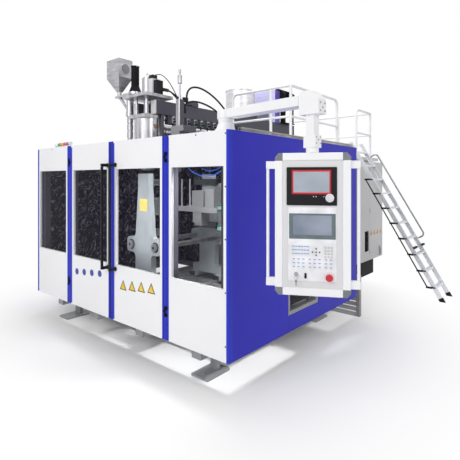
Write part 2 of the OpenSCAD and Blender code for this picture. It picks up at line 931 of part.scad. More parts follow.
// Run of handrail between two points on the plan: top rail, mid rail and posts.
// bends says where the top rail curves down into its end post.
module rail_run(a, b, posts, bends = [false, false]) {
    dir = (b - a)/norm(b - a);
    angle = atan2(dir[1], dir[0]);
    gap = rail_d/2 + fit;
    ends = [bends[0] ? rail_bend + fit : gap, bends[1] ? rail_bend + fit : gap];
    translate([a[0], a[1], walk_z]) rotate([0, 0, angle]) {
        rod_x([ends[0], 0, rail_h], norm(b - a) - ends[0] - ends[1], rail_d);
        stops = concat([0], posts, [norm(b - a)]);
        for (i = [0 : len(stops) - 2]) {
            rod_x([stops[i] + gap, 0, mid_rail], stops[i + 1] - stops[i] - 2*gap, rail_d*0.8);
        }
        if (bends[0]) rail_elbow();
    }
    if (bends[1]) translate([b[0], b[1], walk_z]) rotate([0, 0, angle + 180]) rail_elbow();
    for (s = posts) {
        p = a + dir*s;
        rod_z([p[0], p[1], walk_z + fit], rail_h - rail_d/2 - 2*fit, rail_d);
    }
}

// Bend that leads from the top of a post into the top rail
module rail_elbow() {
    translate([rail_bend, 0, rail_h - rail_bend]) rotate([90, 0, 0]) rotate([0, 0, 90])
        rotate_extrude(angle = 90) translate([rail_bend, 0]) circle(d = rail_d, $fn = 24);
}

// End post on its flange, either below a bend or with a round cap
module rail_post(p, bent) {
    flange_t = 8;
    top = bent ? rail_h - rail_bend - fit : rail_h;
    rod_z([p[0], p[1], walk_z + flange_t + 2*fit], top - flange_t - 2*fit, rail_d);
    if (!bent) translate([p[0], p[1], walk_z + rail_h]) sphere(d = rail_d);
    rod_z([p[0] , p[1], walk_z + fit], flange_t, rail_d + 50);
}

// Handrails before and behind the gate at the ladder
module railings() {
    a = [ext_x + beam_off + beam_w/2 + 45, rail_y0];
    b = [rail_x1, rail_y0];
    c = [rail_x1, gate_y0];
    d = [rail_x2, gate_y1];
    e = [rail_x2, rail_y1];
    f = [deck_x0 + 60, rail_y1];
    g = [deck_x0 + 60, gate_y0 - 150];
    color(off_white) {
        for (p = [a, c, d, g]) rail_post(p, true);
        for (p = [b, e, f]) rail_post(p, false);
        rail_run(a, b, [(b[0] - a[0])*0.68], [true, false]);
        rail_run(b, c, [(c[1] - b[1])/2], [false, true]);
        rail_run(d, e, [], [true, false]);
        rail_run(e, f, [(e[0] - f[0])/3, (e[0] - f[0])*2/3]);
        rail_run(f, g, [(f[1] - g[1])/2], [false, true]);
    }
}

// Places along the ladder: s runs up the stiles, n stands off towards the climber
module on_ladder(s, y, n = 0) {
    translate([ladder_foot_x - s*cos(ladder_angle) + n*sin(ladder_angle), y,
        s*sin(ladder_angle) + n*cos(ladder_angle)])
        rotate([0, ladder_angle - 180, 0]) children();
}

module ladder() {
    foot = 60;
    color(light_grey) {
        for (y = [ladder_y0, ladder_y0 + ladder_w - stile_t]) {
            on_ladder(foot, y) translate([0, 0, -stile_w/2])
                difference() {
                    cube([ladder_len - foot, stile_t, stile_w]);
                    translate([-1, y > ladder_y0 ? -1 : stile_t/2, 4])
                        cube([ladder_len, stile_t/2 + 1, stile_w - 8]);
                }
        }
        for (i = [0 : rungs - 1]) {
            s = rung_first + i*rung_step;
            on_ladder(s, ladder_y0 + stile_t + fit) rung(ladder_clear - 2*fit);
        }
        for (y = [ladder_y0, ladder_y0 + ladder_w - stile_t]) ladder_hook(y);
    }
    color(near_black) for (y = [ladder_y0 - 3, ladder_y0 + ladder_w - stile_t - 3]) {
        difference() {
            on_ladder(-20, y) translate([0, 0, -stile_w/2 - 3]) cube([foot + 20 - fit, stile_t + 6, stile_w + 6]);
            block([ladder_foot_x - 300, y - 1, -200], [ladder_foot_x + 300, y + stile_t + 7, 0]);
        }
    }
}

// Ribbed tread with a flat top that lies level when the ladder leans
module rung(length) {
    rotate([0, 180 - ladder_angle, 0]) rotate([-90, 0, 0]) linear_extrude(length) difference() {
        translate([-32, -14]) square([64, 28]);
        for (x = [-24 : 12 : 24]) translate([x - 2, -15]) square([4, 4]);
        translate([-34, 14]) rotate(-25) square([40, 20]);
    }
}

// Hook over the platform's edge at the head of a stile
module ladder_hook(y) {
    hook_t = 8;
    reach = 75;
    drop = ladder_rise - walk_z - fit;
    block([ladder_top_x - reach, y + 8, walk_z + fit],
        [ladder_top_x - reach + hook_t, y + 8 + hook_t, walk_z + drop]);
    block([ladder_top_x - reach + hook_t + fit, y + 8, walk_z + drop - hook_t],
        [ladder_top_x + 6, y + 8 + hook_t, walk_z + drop]);
}

// Dark side rail behind the near stile, held by a level bracket at each tread
side_rail_back = 100;
module ladder_side_rail() {
    bracket_t = 6;
    rail_t = 14;
    n = -side_rail_back*sin(ladder_angle);
    shift = side_rail_back*cos(ladder_angle);
    first = rung_first - 10;
    last = rung_first + (rungs - 3)*rung_step;
    color(near_black) {
        on_ladder(first + shift, ladder_y0 - bracket_t - 2*fit - rail_t, n)
            translate([0, 0, -8]) cube([last - first, rail_t, 16]);
        for (i = [0 : rungs - 3]) {
            s = rung_first + i*rung_step;
            x = ladder_foot_x - s*cos(ladder_angle);
            z = s*sin(ladder_angle);
            block([x - side_rail_back - 12, ladder_y0 - bracket_t - fit, z - 9], [x + 16, ladder_y0 - fit, z + 9]);
        }
    }
}

// Silver loop handrail beside the far stile with its clamps
module ladder_loop_rail() {
    y = ladder_y0 + ladder_w + 24;
    s0 = ladder_len*0.345;
    s1 = ladder_len*0.9;
    gap = 150;
    tube = 26;
    bend = 60;
    color(light_grey) on_ladder(s0, y, 0) rotate([90, 0, 0])
        loop_tube(s1 - s0, gap, bend, tube);
    color(near_black) for (s = [s0 + 20, s1 - 60]) {
        on_ladder(s, ladder_y0 + ladder_w + fit) translate([-25, 0, -18]) cube([50, 24 - tube/2, 36]);
    }
}

// Closed loop of round tube: two straight runs joined by rounded ends
module loop_tube(length, width, bend, tube) {
    for (v = [0, -width]) {
        translate([bend, v, 0]) rotate([0, 90, 0]) cylinder(h = length - 2*bend, d = tube);
    }
    for (u = [0, length]) {
        translate([u, -bend, 0]) rotate([90, 0, 0]) cylinder(h = width - 2*bend, d = tube);
    }
    for (c = [[bend, -bend, 90], [length - bend, -bend, 0],
        [length - bend, bend - width, -90], [bend, bend - width, 180]]) {
        translate([c[0], c[1], 0]) rotate([0, 0, c[2]]) rotate_extrude(angle = 90)
            translate([bend, 0]) circle(d = tube, $fn = 24);
    }
}

// Folded front of the cabinet that faces +X, with an optional vent opening
module cabinet_front(y0, y1, vent = false) {
    face = cab_x1 - panel_depth;
    z0 = cab_z + 3;
    z1 = cab_z1 - 3;
    difference() {
        block([face, y0, z0], [cab_x1, y1, z1]);
        difference() {
            block([face - 1, y0 + sheet_t, z0 + sheet_t], [cab_x1 - sheet_t, y1 - sheet_t, z1 - sheet_t]);
            if (vent) {
                block([face - 2, vent_y[0] - rim, vent_z[0] - rim], [cab_x1, vent_y[1] + rim, vent_z[1] + rim]);
            }
        }
        if (vent) block([face - 3, vent_y[0], vent_z[0]], [cab_x1 + 1, vent_y[1], vent_z[1]]);
    }
}

// Hinge knuckle of the cabinet with its leaf; side is 1 on the door
module cabinet_knuckle(z0, h, side, bore) {
    difference() {
        union() {
            rod_z([cab_hinge_x, cab_hinge_y, z0], h, 12);
            block([cab_x1 + fit/3, min(cab_hinge_y, cab_hinge_y + side*30), z0],
                [cab_x1 + 3, max(cab_hinge_y, cab_hinge_y + side*30), z0 + h]);
        }
        rod_z([cab_hinge_x, cab_hinge_y, z0 - 1], h + 2, bore);
    }
}

// Electrical cabinet on its plinth: shell, fixed front with a vent, gear and hinge pins
module electrical_cabinet() {
    face = cab_x1 - panel_depth - fit;
    color(light_grey) {
        difference() {
            block([cab_x0, cab_y0, cab_z], [face, cab_y1, cab_z1]);
            block([cab_x0 + cab_wall, cab_y0 + cab_wall, cab_z + cab_wall],
                [face + 1, cab_y1 - cab_wall, cab_z1 - cab_wall]);
        }
        cabinet_front(cab_y0 + 3, cab_hinge_y - 3, true);
        for (z = cab_hinge_zs, end = [0, 1]) cabinet_knuckle(z - 40 + end*60, 20, -1, 6 + fit);
    }
    color(steel) {
        for (z = cab_hinge_zs) rod_z([cab_hinge_x, cab_hinge_y, z - 42], 84, 6);
        block([cab_x0 + cab_wall + fit, cab_y0 + 40, cab_z + 40],
            [cab_x0 + cab_wall + fit + 20, cab_y1 - 40, cab_z1 - 40]);
    }
    color(mid_grey) for (row = [0:4], col = [0:2]) {
        z = cab_z + 110 + row*360;
        y = cab_y0 + 90 + col*400;
        block([cab_x0 + cab_wall + 20 + 2*fit, y, z],
            [cab_x0 + 120 + 30*((row + col) % 2), y + 320, z + 240]);
    }
    color(near_black) {
        block([cab_x0 + 20, cab_y0, 0], [cab_x1, plinth_y1, cab_z - fit]);
        for (x = [cab_x0 + 80, cab_x1 - 140]) {
            block([x, deck_y1 - 90, cab_z1 + fit], [x + 60, deck_y1 - 10, frame_top - rear_beam - fit]);
        }
        for (z = [vent_z[0] + 6 : 25 : vent_z[1] - 25]) {
            translate([cab_x1 - 18, vent_y[0] + fit, z]) rotate([0, 35, 0])
                cube([2, vent_y[1] - vent_y[0] - 2*fit, 24]);
        }
    }
}

cab_hinge_zs = [cab_z + 160, (cab_z + cab_z1)/2, cab_z1 - 160];

// Cabinet door with its moving knuckles and a swing latch
module cabinet_door() {
    color(light_grey) {
        cabinet_front(cab_hinge_y + 3, cab_y1 - 3);
        for (z = cab_hinge_zs) cabinet_knuckle(z - 19, 38, 1, 6 + 2*running);
    }
    color(mid_grey) {
        block([cab_x1 + fit, cab_y1 - 190, cab_z + 25], [cab_x1 + 22, cab_y1 - 110, cab_z + 225]);
        block([cab_x1 + 22 + fit, cab_y1 - 175, cab_z + 50], [cab_x1 + 34, cab_y1 - 125, cab_z + 180]);
    }
}

// Louvred shield behind the enclosure and the oil unit under the platform
module hydraulic_unit() {
    y0 = skirt_y;
    depth = 60;
    top = skirt_h;
    color(light_grey) {
        difference() {
            block([skirt_x0, y0, 0], [skirt_x1, y0 + depth, top]);
            block([skirt_x0 + 3, y0 + 3, 3], [skirt_x1 - 3, y0 + depth + 1, top - 3]);
            for (i = [0:5]) {
                block([skirt_x0 + 50, y0 - 1, 60 + i*70], [skirt_x1 - 50, y0 + 4, 72 + i*70]);
            }
        }
        for (i = [0:5]) {
            translate([skirt_x0 + 50, y0 - fit, 74 + i*70]) rotate([-30, 0, 0])
                cube([skirt_x1 - skirt_x0 - 100, 2, 22]);
        }
    }
    color(light_grey) for (x = [skirt_x0 + 80, skirt_x1 - 110]) {
        block([x, back_y + fit, base_h + 80], [x + 40, y0 - fit, base_h + 120]);
    }
    tank_x = [deck_x0 + 350, deck_x1 - 500];
    tank_y = [back_y + 450, cab_y0 - 135];
    color(mid_grey) {
        block([tank_x[0], tank_y[0], 0], [tank_x[1], tank_y[1], 700]);
        rod_x([tank_x[0] + 200, (tank_y[0] + tank_y[1])/2, 700 + fit + 190], 560, 300);
        block([tank_x[0] + 260, (tank_y[0] + tank_y[1])/2 - 140, 700 + fit],
            [tank_x[0] + 700, (tank_y[0] + tank_y[1])/2 + 140, 700 + fit + 40]);
        for (x = [tank_x[0] + 300, tank_x[0] + 420]) rod_y([x, back_y + fit, 480], tank_y[0] - back_y - 2*fit, 42);
        rod_x([tank_x[0] + 760 + fit, (tank_y[0] + tank_y[1])/2, 700 + fit + 190], 240, 180);
    }
}

// Control panel

module hmi_arm_base() {
    color(off_white) translate([arm_base_x, arm_base_y, top_z + fit]) difference() {
        rotate_extrude() polygon([[0, 0], [95, 0], [95, 12], [86, 16], [62, 82], [62, 84], [0, 84]]);
        translate([0, 0, 30]) cylinder(h = 60, r = 30 + running);
    }
    color(mid_grey) translate([arm_base_x, arm_base_y, top_z + 84 + 2*fit]) difference() {
        cylinder(h = arm_z0 - top_z - 84 - 3*fit, r = 66);
        translate([0, 0, -1]) cylinder(h = 60, r = 30 + running);
    }
}

// Arm, elbow and drop tube, in the arm's own direction
module hmi_arm() {
    elbow = [170, 100, 172];
    elbow_z = arm_z0 + arm_h + 27 - elbow[2];
    tube = [70, 66];
    tube_z = hmi_top + 127;
    bracket_z = hmi_top + 37;
    color(off_white) translate([arm_base_x, arm_base_y, 0]) rotate([0, 0, arm_angle]) {
        rod_z([0, 0, arm_z0], arm_h, 150);
        rod_z([0, 0, arm_z0 - 60], 60 - fit, 60);
        translate([75 + fit, -arm_w/2, arm_z0]) cube([arm_len - elbow[0]/2 - 75 - 2*fit, arm_w, arm_h]);
        translate([arm_len, elbow[1]/2, elbow_z]) rotate([90, 0, 0]) linear_extrude(elbow[1])
            polygon([[-elbow[0]/2, 0], [elbow[0]/2, 0], [elbow[0]/2, elbow[2] - 70],
                [elbow[0]/2 - 62, elbow[2]], [-elbow[0]/2, elbow[2]]]);
        translate([arm_len - tube[0]/2, -tube[1]/2, tube_z + fit])
            cube([tube[0], tube[1], elbow_z - tube_z - 2*fit]);
        translate([arm_len, 0, bracket_z]) linear_extrude(tube_z - bracket_z) rounded_rect(104, 86, 8);
    }
}

// Places a piece in the control panel's own frame
module on_hmi() {
    translate([swivel_x, swivel_y, 0]) rotate([0, 0, hmi_angle]) children();
}

// Section of a frame profile with a rounded front edge
module frame_section(w) {
    difference() {
        translate([-w/2, -hmi_d/2]) square([w, hmi_d]);
        for (s = [-1, 1]) translate([s*w/2, -hmi_d/2]) circle(6, $fn = 4);
    }
}

module hmi_housing() {
    x_col = hmi_w/2 - hmi_frame/2;
    color(off_white) on_hmi() {
        for (s = [-1, 1]) {
            translate([s*x_col, 0, hmi_bottom + hmi_frame + fit])
                linear_extrude(hmi_h - 2*hmi_frame - 2*fit) frame_section(hmi_frame);
        }
        for (z = [hmi_bottom + hmi_frame/2, hmi_top - hmi_frame/2]) {
            translate([-hmi_w/2 + hmi_frame + fit, 0, z]) rotate([0, 90, 0])
                linear_extrude(hmi_w - 2*hmi_frame - 2*fit) rotate(0) frame_section(hmi_frame);
        }
        translate([-plate_w/2, hmi_d/2 - 4, plate_z0]) cube([plate_w, 4, plate_z1 - plate_z0]);
        rod_z([0, 0, hmi_top + fit], 36, 92);
    }
    color(mid_grey) on_hmi() for (sx = [-1, 1], top = [0, 1]) {
        translate([sx*(hmi_w/2 - hmi_frame), hmi_d/2, top == 1 ? hmi_top - hmi_frame : hmi_bottom + hmi_frame])
            rotate([90, 0, 0]) linear_extrude(hmi_d)
            scale([sx, top == 1 ? 1 : -1]) polygon([[0, 0], [hmi_frame, 0], [hmi_frame, 26], [30, hmi_frame], [0, hmi_frame]]);
    }
}

// Front plate with the display unit, the keypad unit and the holes for the controls
module hmi_front_plate() {
    display = [355, 275];
    display_at = [-6, hmi_top - 241];
    keypad = [340, 530];
    keypad_at = [-2, hmi_bottom + 372];
    unit_t = 5;
    color(light_grey) on_hmi() difference() {
        translate([-plate_w/2, plate_y, plate_z0]) cube([plate_w, plate_t, plate_z1 - plate_z0]);
        for (hole = [[estop_at, 22], [knob_at, 12], [key_at, 18]]) {
            rod_y([hole[0][0], plate_y - 20, hole[0][1]], 40, hole[1] + 2*running + 1);
        }
    }
    color(near_black) on_hmi() difference() {
        translate([display_at[0], plate_y - fit, display_at[1]]) rotate([90, 0, 0])
            linear_extrude(unit_t) rounded_rect(display[0], display[1], 6);
        translate([display_at[0] - 2, plate_y - fit - unit_t + 1.5, display_at[1] + 30]) rotate([90, 0, 0])
            linear_extrude(unit_t) square([270, 160], center = true);
        rod_y([knob_at[0], plate_y - 20, knob_at[1]], 40, 13 + 2*running);
    }
    color(off_white) on_hmi() difference() {
        translate([keypad_at[0], plate_y - fit, keypad_at[1]]) rotate([90, 0, 0])
            linear_extrude(unit_t - 1) rounded_rect(keypad[0], keypad[1], 6);
        translate([keypad_at[0], plate_y - fit - unit_t + 2.5, keypad_at[1] + 135]) rotate([90, 0, 0])
            linear_extrude(unit_t) square([282, 148], center = true);
        for (hole = [[estop_at, 22], [key_at, 18]]) {
            rod_y([hole[0][0], plate_y - 20, hole[0][1]], 40, hole[1] + 2*running + 1);
        }
    }
}

// Side handles: two brackets and a bar on each side
module hmi_handles() {
    bracket_h = 55;
    bracket_d = 40;
    bar = 22;
    z_low = hmi_bottom + 58;
    z_high = hmi_top - 58 - bracket_h;
    color(off_white) on_hmi() for (s = [-1, 1]) {
        for (z = [z_low, z_high]) {
            translate([s*(hmi_w/2 + fit + grip_reach/2), 0, z + bracket_h/2]) cube([grip_reach, bracket_d, bracket_h], center = true);
        }
        rod_z([s*(hmi_w/2 + grip_reach - bar/2), 0, z_low + bracket_h + fit], z_high - z_low - bracket_h - 2*fit, bar);
    }
}

// Mushroom head and plunger of the emergency stop
module estop_button() {
    color([0.85, 0.1, 0.15]) on_hmi() translate([estop_at[0], plate_y - 12, estop_at[1]]) rotate([90, 0, 0]) {
        rotate_extrude() polygon([[0, 0], [estop_d/2 - 8, 0], [estop_d/2, 6], [estop_d/2, 12],
            [estop_d/2 - 5, 17], [estop_d/4, 20], [0, 21]]);
        translate([0, 0, -40 + fit]) cylinder(h = 40, d = 22);
    }
}

module jog_knob() {
    color(light_grey) on_hmi() translate([knob_at[0], plate_y - 6, knob_at[1]]) rotate([90, 0, 0]) {
        difference() {
            cylinder(h = 16, d = knob_d);
            translate([0, knob_d*0.3, 14]) cylinder(h = 5, d = 12);
        }
        translate([0, 0, -24]) cylinder(h = 25, d = 12);
    }
}

// Key barrel with the key standing in it
module key_switch() {
    color(steel) on_hmi() translate([key_at[0], plate_y - 6, key_at[1]]) rotate([90, 0, 0]) {
        difference() {
            cylinder(h = 10, d = 30);
            translate([0, 0, 7]) linear_extrude(5) square([3.4, 12], center = true);
        }
        translate([0, 0, -24]) cylinder(h = 25, d = 18);
        translate([-1, -5, 7.5]) cube([2, 10, 12]);
        translate([1, 0, 33]) rotate([0, -90, 0]) difference() {
            cylinder(h = 2, d = 28);
            translate([6, 0, -1]) cylinder(h = 4, d = 6);
        }
    }
}

// Clamp

module carriage() {
    color(mid_grey) {
        for (s = [-1, 1]) {
            block([clamp_x + s*guide_off - 50, carriage_y0, carriage_z0],
                [clamp_x + s*guide_off + 50, carriage_y1, carriage_z1 - fit]);
            for (y = [-rail_y, rail_y]) {
                block([clamp_x + s*guide_off - 60, y - 55, rail_top + fit],
                    [clamp_x + s*guide_off + 60, y + 55, carriage_z0 - fit]);
            }
        }
        for (y = [carriage_y0, 0, carriage_y1 - 100]) {
            block([clamp_x - guide_off + 50 + fit, y, carriage_z0], [clamp_x + guide_off - 50 - fit, y + 100, carriage_z1 - fit]);
        }
    }
    color(steel) {
        for (s = [-1, 1]) {
            block([clamp_x + s*guide_off - 25, carriage_y0, carriage_z1],
                [clamp_x + s*guide_off + 25, carriage_y1, guide_top]);
        }
        tip = drive_front - 40;
        rod_x([tip, 0, drive_z], clamp_x - 60 - tip, 2*drive_rod_r);
        block([clamp_x - 60 + fit, -50, drive_z - 40], [clamp_x + 60, 50, carriage_z0 - fit]);
    }
}

// Outline of a platen casting in the XZ plane: foot, column, lugs and tapered head
module platen_outline() {
    foot_w2 = guide_off + 50;
    foot_z = guide_top + fit + shoe_h + fit;
    lug_z0 = tie_z - lug_h/2;
    lug_z1 = tie_z + lug_h/2;
    translate([0, foot_z + 50]) square([2*foot_w2, 100], center = true);
    translate([-column_w/2, foot_z]) square([column_w, lug_z1 - foot_z]);
    polygon([[-column_w/2, lug_z1 - 1], [column_w/2, lug_z1 - 1], [column_top_w/2, 1800],
        [column_top_w/2, platen_top], [-column_top_w/2, platen_top], [-column_top_w/2, 1800]]);
    translate([0, tie_z]) rounded_rect(lug_w, lug_h, lug_r);
    for (s = [-1, 1]) {
        scale([s, 1]) translate([column_w/2, foot_z + 100]) inner_fillet(60);
        scale([s, 1]) translate([column_w/2, lug_z0]) scale([1, -1]) inner_fillet(lug_r);
        scale([s, 1]) translate([column_w/2 - 2, lug_z1]) inner_fillet(lug_r);
    }
}

// Platen casting whose front lies at y0, bored for the tie bars and, if asked, the ram
module platen(y0, tie_clear, ram) {
    translate([clamp_x, y0 + platen_t, 0]) rotate([90, 0, 0]) linear_extrude(platen_t) difference() {
        platen_outline();
        for (s = [-1, 1]) translate([s*tie_pitch/2, tie_z]) circle(d = tie_d + 2*tie_clear);
        if (ram) translate([0, ram_z]) circle(d = rod_d*0.6);
    }
    for (s = [-1, 1]) {
        block([clamp_x + s*guide_off - 50, y0 + platen_t/2 - shoe_len/2, guide_top + fit],
            [clamp_x + s*guide_off + 50, y0 + platen_t/2 + shoe_len/2, guide_top + fit + shoe_h]);
    }
}

// Mould mounting bars with the threaded holes that a mould bolts to
module mould_bars(y0) {
    mid = (mid_bar_z[0] + mid_bar_z[1])/2;
    upper = (upper_bar_z[0] + upper_bar_z[1])/2;
    for (z = [mid_bar_z, upper_bar_z, [tie_z + 120, tie_z + 200]]) {
        difference() {
            block([clamp_x - mould_bar_w/2, y0 + fit/2, z[0]], [clamp_x + mould_bar_w/2, y0 + mould_bar_t - fit/2, z[1]]);
            for (s = [-1, 1], zz = [mid, upper]) {
                rod_y([clamp_x + s*mould_bolt_pitch_x/2, y0 - 1, zz], mould_bar_t + 2, 2*mould_bolt_r);
            }
        }
    }
}

module front_platen() {
    color([0.55, 0.58, 0.6]) platen(front_front, 0.2, false);
    color(steel) mould_bars(front_back);
}

module rear_platen() {
    color([0.55, 0.58, 0.6]) platen(rear_back - platen_t, 2, false);
    color(steel) mould_bars(rear_face);
    color(steel) rod_y([clamp_x, rear_back + fit, ram_z], cylinder_y + cylinder_len - 20 - rear_back, rod_d);
}

// Yoke plate, tie bars with their nuts, and the clamp cylinder
module clamp_yoke() {
    color([0.55, 0.58, 0.6]) {
        translate([clamp_x, yoke_y + yoke_t, 0]) rotate([90, 0, 0]) linear_extrude(yoke_t) difference() {
            union() {
                translate([-guide_off - 50, guide_top + shoe_h + 2*fit]) square([2*guide_off + 100, 120]);
                translate([-lug_w/2, guide_top + shoe_h + 100]) square([lug_w, ram_z - guide_top - shoe_h - 100]);
                translate([0, ram_z]) circle(r = lug_w/2 - 20);
            }
            translate([0, ram_z]) circle(d = rod_d + 2*running);
            for (s = [-1, 1]) translate([s*tie_pitch/2, tie_z]) circle(d = tie_d + 0.4);
        }
        for (s = [-1, 1]) {
            block([clamp_x + s*guide_off - 50, yoke_y + yoke_t/2 - shoe_len/2, guide_top + fit],
                [clamp_x + s*guide_off + 50, yoke_y + yoke_t/2 + shoe_len/2, guide_top + fit + shoe_h]);
        }
    }
    color(steel) for (s = [-1, 1]) {
        x = clamp_x + s*tie_pitch/2;
        rod_y([x, front_front - 30, tie_z], yoke_y + yoke_t + 30 - front_front + 30, tie_d);
        for (y = [front_front - 24, yoke_y + yoke_t + fit]) {
            difference() {
                rod_y([x, y, tie_z], 24 - fit, tie_d + 34);
                rod_y([x, y - 1, tie_z], 30, tie_d + 0.4);
            }
        }
    }
    color(mid_grey) difference() {
        union() {
            rod_y([clamp_x, cylinder_y, ram_z], cylinder_len, cylinder_d);
            rod_y([clamp_x, cylinder_y, ram_z], 40, cylinder_d + 60);
            rod_y([clamp_x, cylinder_y + cylinder_len - 40, ram_z], 40, cylinder_d + 30);
        }
        rod_y([clamp_x, cylinder_y - 1, ram_z], cylinder_len - 9, rod_d + 2*running);
    }
}

// Fixed part of the blow station: hollow stand, plate and square cylinder
module blow_unit() {
    foot_z = frame_top + fit;
    tube_z = foot_z + stand_foot_h + fit;
    cylinder_z = blow_plate_z + blow_plate_h + fit;
    bore = pin_rod_d + 2*running;
    color(dark_grey) difference() {
        block([clamp_x - 150, part_y - 100, foot_z], [clamp_x + 150, part_y + 100, foot_z + stand_foot_h]);
        rod_z([clamp_x, part_y, foot_z - 1], 30, pin_rod_d + 44);
    }
    color(mid_grey) translate([clamp_x, part_y, tube_z]) linear_extrude(blow_plate_z - fit - tube_z) difference() {
        rounded_rect(stand_w, stand_w, 10);
        square(stand_w - 16, center = true);
    }
    color(mid_grey) difference() {
        translate([clamp_x + 30, part_y + 35, blow_plate_z]) linear_extrude(blow_plate_h)
            rounded_rect(blow_plate_w, blow_plate_w, 10);
        rod_z([clamp_x, part_y, blow_plate_z - 1], blow_plate_h + 2, bore);
    }
    color([0.6, 0.65, 0.68]) translate([clamp_x, part_y, cylinder_z]) linear_extrude(blow_cylinder_h) difference() {
        rounded_rect(blow_cylinder_w, blow_cylinder_w, 10);
        for (a = [0:90:270]) rotate(a) translate([blow_cylinder_w/2, 0]) square([6, 20], center = true);
        circle(d = bore);
    }
    color(mid_grey) {
        manifold_y = part_y + 930;
        block([clamp_x - 70, manifold_y, top_z + fit], [clamp_x + 70, manifold_y + 200, manifold_z]);
    }
}

// Point and direction along a cubic curve with four control points
function curve(p, t) = pow(1 - t, 3)*p[0] + 3*t*pow(1 - t, 2)*p[1] + 3*t*t*(1 - t)*p[2] + t*t*t*p[3];
function curve_slope(p, t) = let(d = pow(1 - t, 2)*(p[1] - p[0]) + 2*t*(1 - t)*(p[2] - p[1]) + t*t*(p[3] - p[2])) d/norm(d);

// Hose that follows a curve in the YZ plane
module air_hose(x, p, steps = 28, sides = 16) {
    r = hose_d/2;
    rings = [for (i = [0:steps], j = [0 : sides - 1])
        let(c = curve(p, i/steps), d = curve_slope(p, i/steps), a = 360*j/sides)
        [x + r*cos(a), c[0] - r*sin(a)*d[1], c[1] + r*sin(a)*d[0]]];
    walls = [for (i = [0 : steps - 1], j = [0 : sides - 1])
        let(k = (j + 1) % sides, u = i*sides, v = (i + 1)*sides) [u + k, v + k, v + j, u + j]];
    polyhedron(rings, concat([[for (j = [sides - 1 : -1 : 0]) j]], walls,
        [[for (j = [0 : sides - 1]) steps*sides + j]]), convexity = 4);
}

manifold_z = 2500;
module air_hoses() {
    hose_y = part_y + 98;
    side_y = part_y + blow_cylinder_w/2 + fit;
    fitting_w = 30;
    high_z = blow_top + 34;
    low_z = blow_top - 96;
    drop_z = manifold_z + fit;
    color(near_black) {
        air_hose(clamp_x + 20, [[hose_y, high_z], [hose_y, high_z + 390],
            [hose_y + 952, drop_z + 457], [hose_y + 952, drop_z]]);
        air_hose(clamp_x - 20, [[hose_y, low_z], [hose_y, low_z + 233],
            [hose_y + 892, drop_z + 412], [hose_y + 892, drop_z]]);
    }
    color(steel) for (f = [[20, high_z], [-20, low_z]]) {
        block([clamp_x + f[0] - fitting_w/2, side_y, f[1] - 60],
            [clamp_x + f[0] + fitting_w/2, hose_y + fitting_w/2, f[1] - fit]);
    }
}

// Blow pin, its through rod and the stop sleeve above the cylinder
module blow_pin() {
    rod_top = blow_top + 340;
    color(steel) translate([clamp_x, part_y, 0]) {
        rotate_extrude() polygon([[0, pin_tip_z], [14, pin_tip_z], [22, pin_tip_z + 10], [22, pin_tip_z + 60],
            [30, pin_tip_z + 66], [30, pin_tip_z + 110], [pin_rod_d/2, pin_tip_z + 112],
            [pin_rod_d/2, blow_top + 60], [11, blow_top + 62], [11, rod_top], [0, rod_top]]);
        difference() {
            rod_z([0, 0, blow_top + pin_stroke + 5], 100, 54);
            rod_z([0, 0, blow_top], 400, 22.4);
        }
    }
    color(near_black) rod_z([clamp_x, part_y, rod_top + fit], 40, 30);
}

// Take-out carriage: hanger, beam, gripper blocks and rods
module takeout_unit() {
    x0 = clamp_x + 75;
    x1 = x0 + takeout_len;
    beam_z0 = 1510;
    hang_x = x1 - 130;
    color(light_grey) {
        for (s = [-1, 1]) {
            block([x0, part_y + s*80 - 20, beam_z0], [x1, part_y + s*80 + 20, beam_z0 + 60]);
        }
        for (x = [x0 + 30, x1 - 70]) {
            block([x, part_y - 60 + fit, beam_z0 + 5], [x + 40, part_y + 60 - fit, beam_z0 + 55]);
        }
        block([hang_x - 60, part_y + 100 + fit, beam_z0], [hang_x + 60, track_y + 60, beam_z0 + 60]);
        block([hang_x - 60, track_y + 30 + fit, beam_z0 + 60 + fit], [hang_x + 60, track_y + 60, track_z - fit]);
        block([hang_x - 60, track_y - 30, track_z - 45], [hang_x + 60, track_y + 30, track_z - fit]);
    }
    color(off_white) {
        block([x0 + 220, part_y - 75, beam_z0 + 60 + fit], [x0 + 400, part_y + 75, beam_z0 + 250]);
        block([x0 + 420, part_y - 60, beam_z0 + 60 + fit], [x0 + 560, part_y + 60, beam_z0 + 270]);
        block([x0 + 230, part_y - 70, beam_z0 - 130], [x0 + 370, part_y + 70, beam_z0 - fit]);
    }
    color(steel) {
        for (x = [x0 + 50, x0 + 190]) {
            rod_z([x, part_y - 80, beam_z0 + 60 + fit], 330, 22);
        }
        for (s = [-1, 1]) rod_x([x0 + 240, part_y + s*35, beam_z0 - 130 - fit - 18], 120, 36);
    }
}

// Extruder

module platform_beams() {
    color(dark_grey) for (s = [-1, 1]) {
        x = ext_x + s*beam_off;
        block([x - beam_w/2, beam_y0, beam_z], [x + beam_w/2, beam_y1, beam_top]);
        for (y = [beam_y1 - 300, deck_y0 + 350]) {
            block([x - 50, y - 50, walk_z + 12 + fit], [x + 50, y + 50, beam_z - fit]);
            block([x - 90, y - 90, walk_z + fit], [x + 90, y + 90, walk_z + 12]);
        }
    }
    color(light_grey) for (s = [-1, 1]) {
        x = ext_x + s*beam_off;
        block([x - beam_w/2, beam_y0 - 8, beam_z], [x + beam_w/2, beam_y0 - fit, beam_top]);
    }
    color(dark_grey) for (y = [throat_y0 - 380, beam_y1 - 100]) {
        block([ext_x - beam_gap/2 + fit, y, beam_z + 20], [ext_x + beam_gap/2 - fit, y + 80, beam_top - 20]);
    }
}

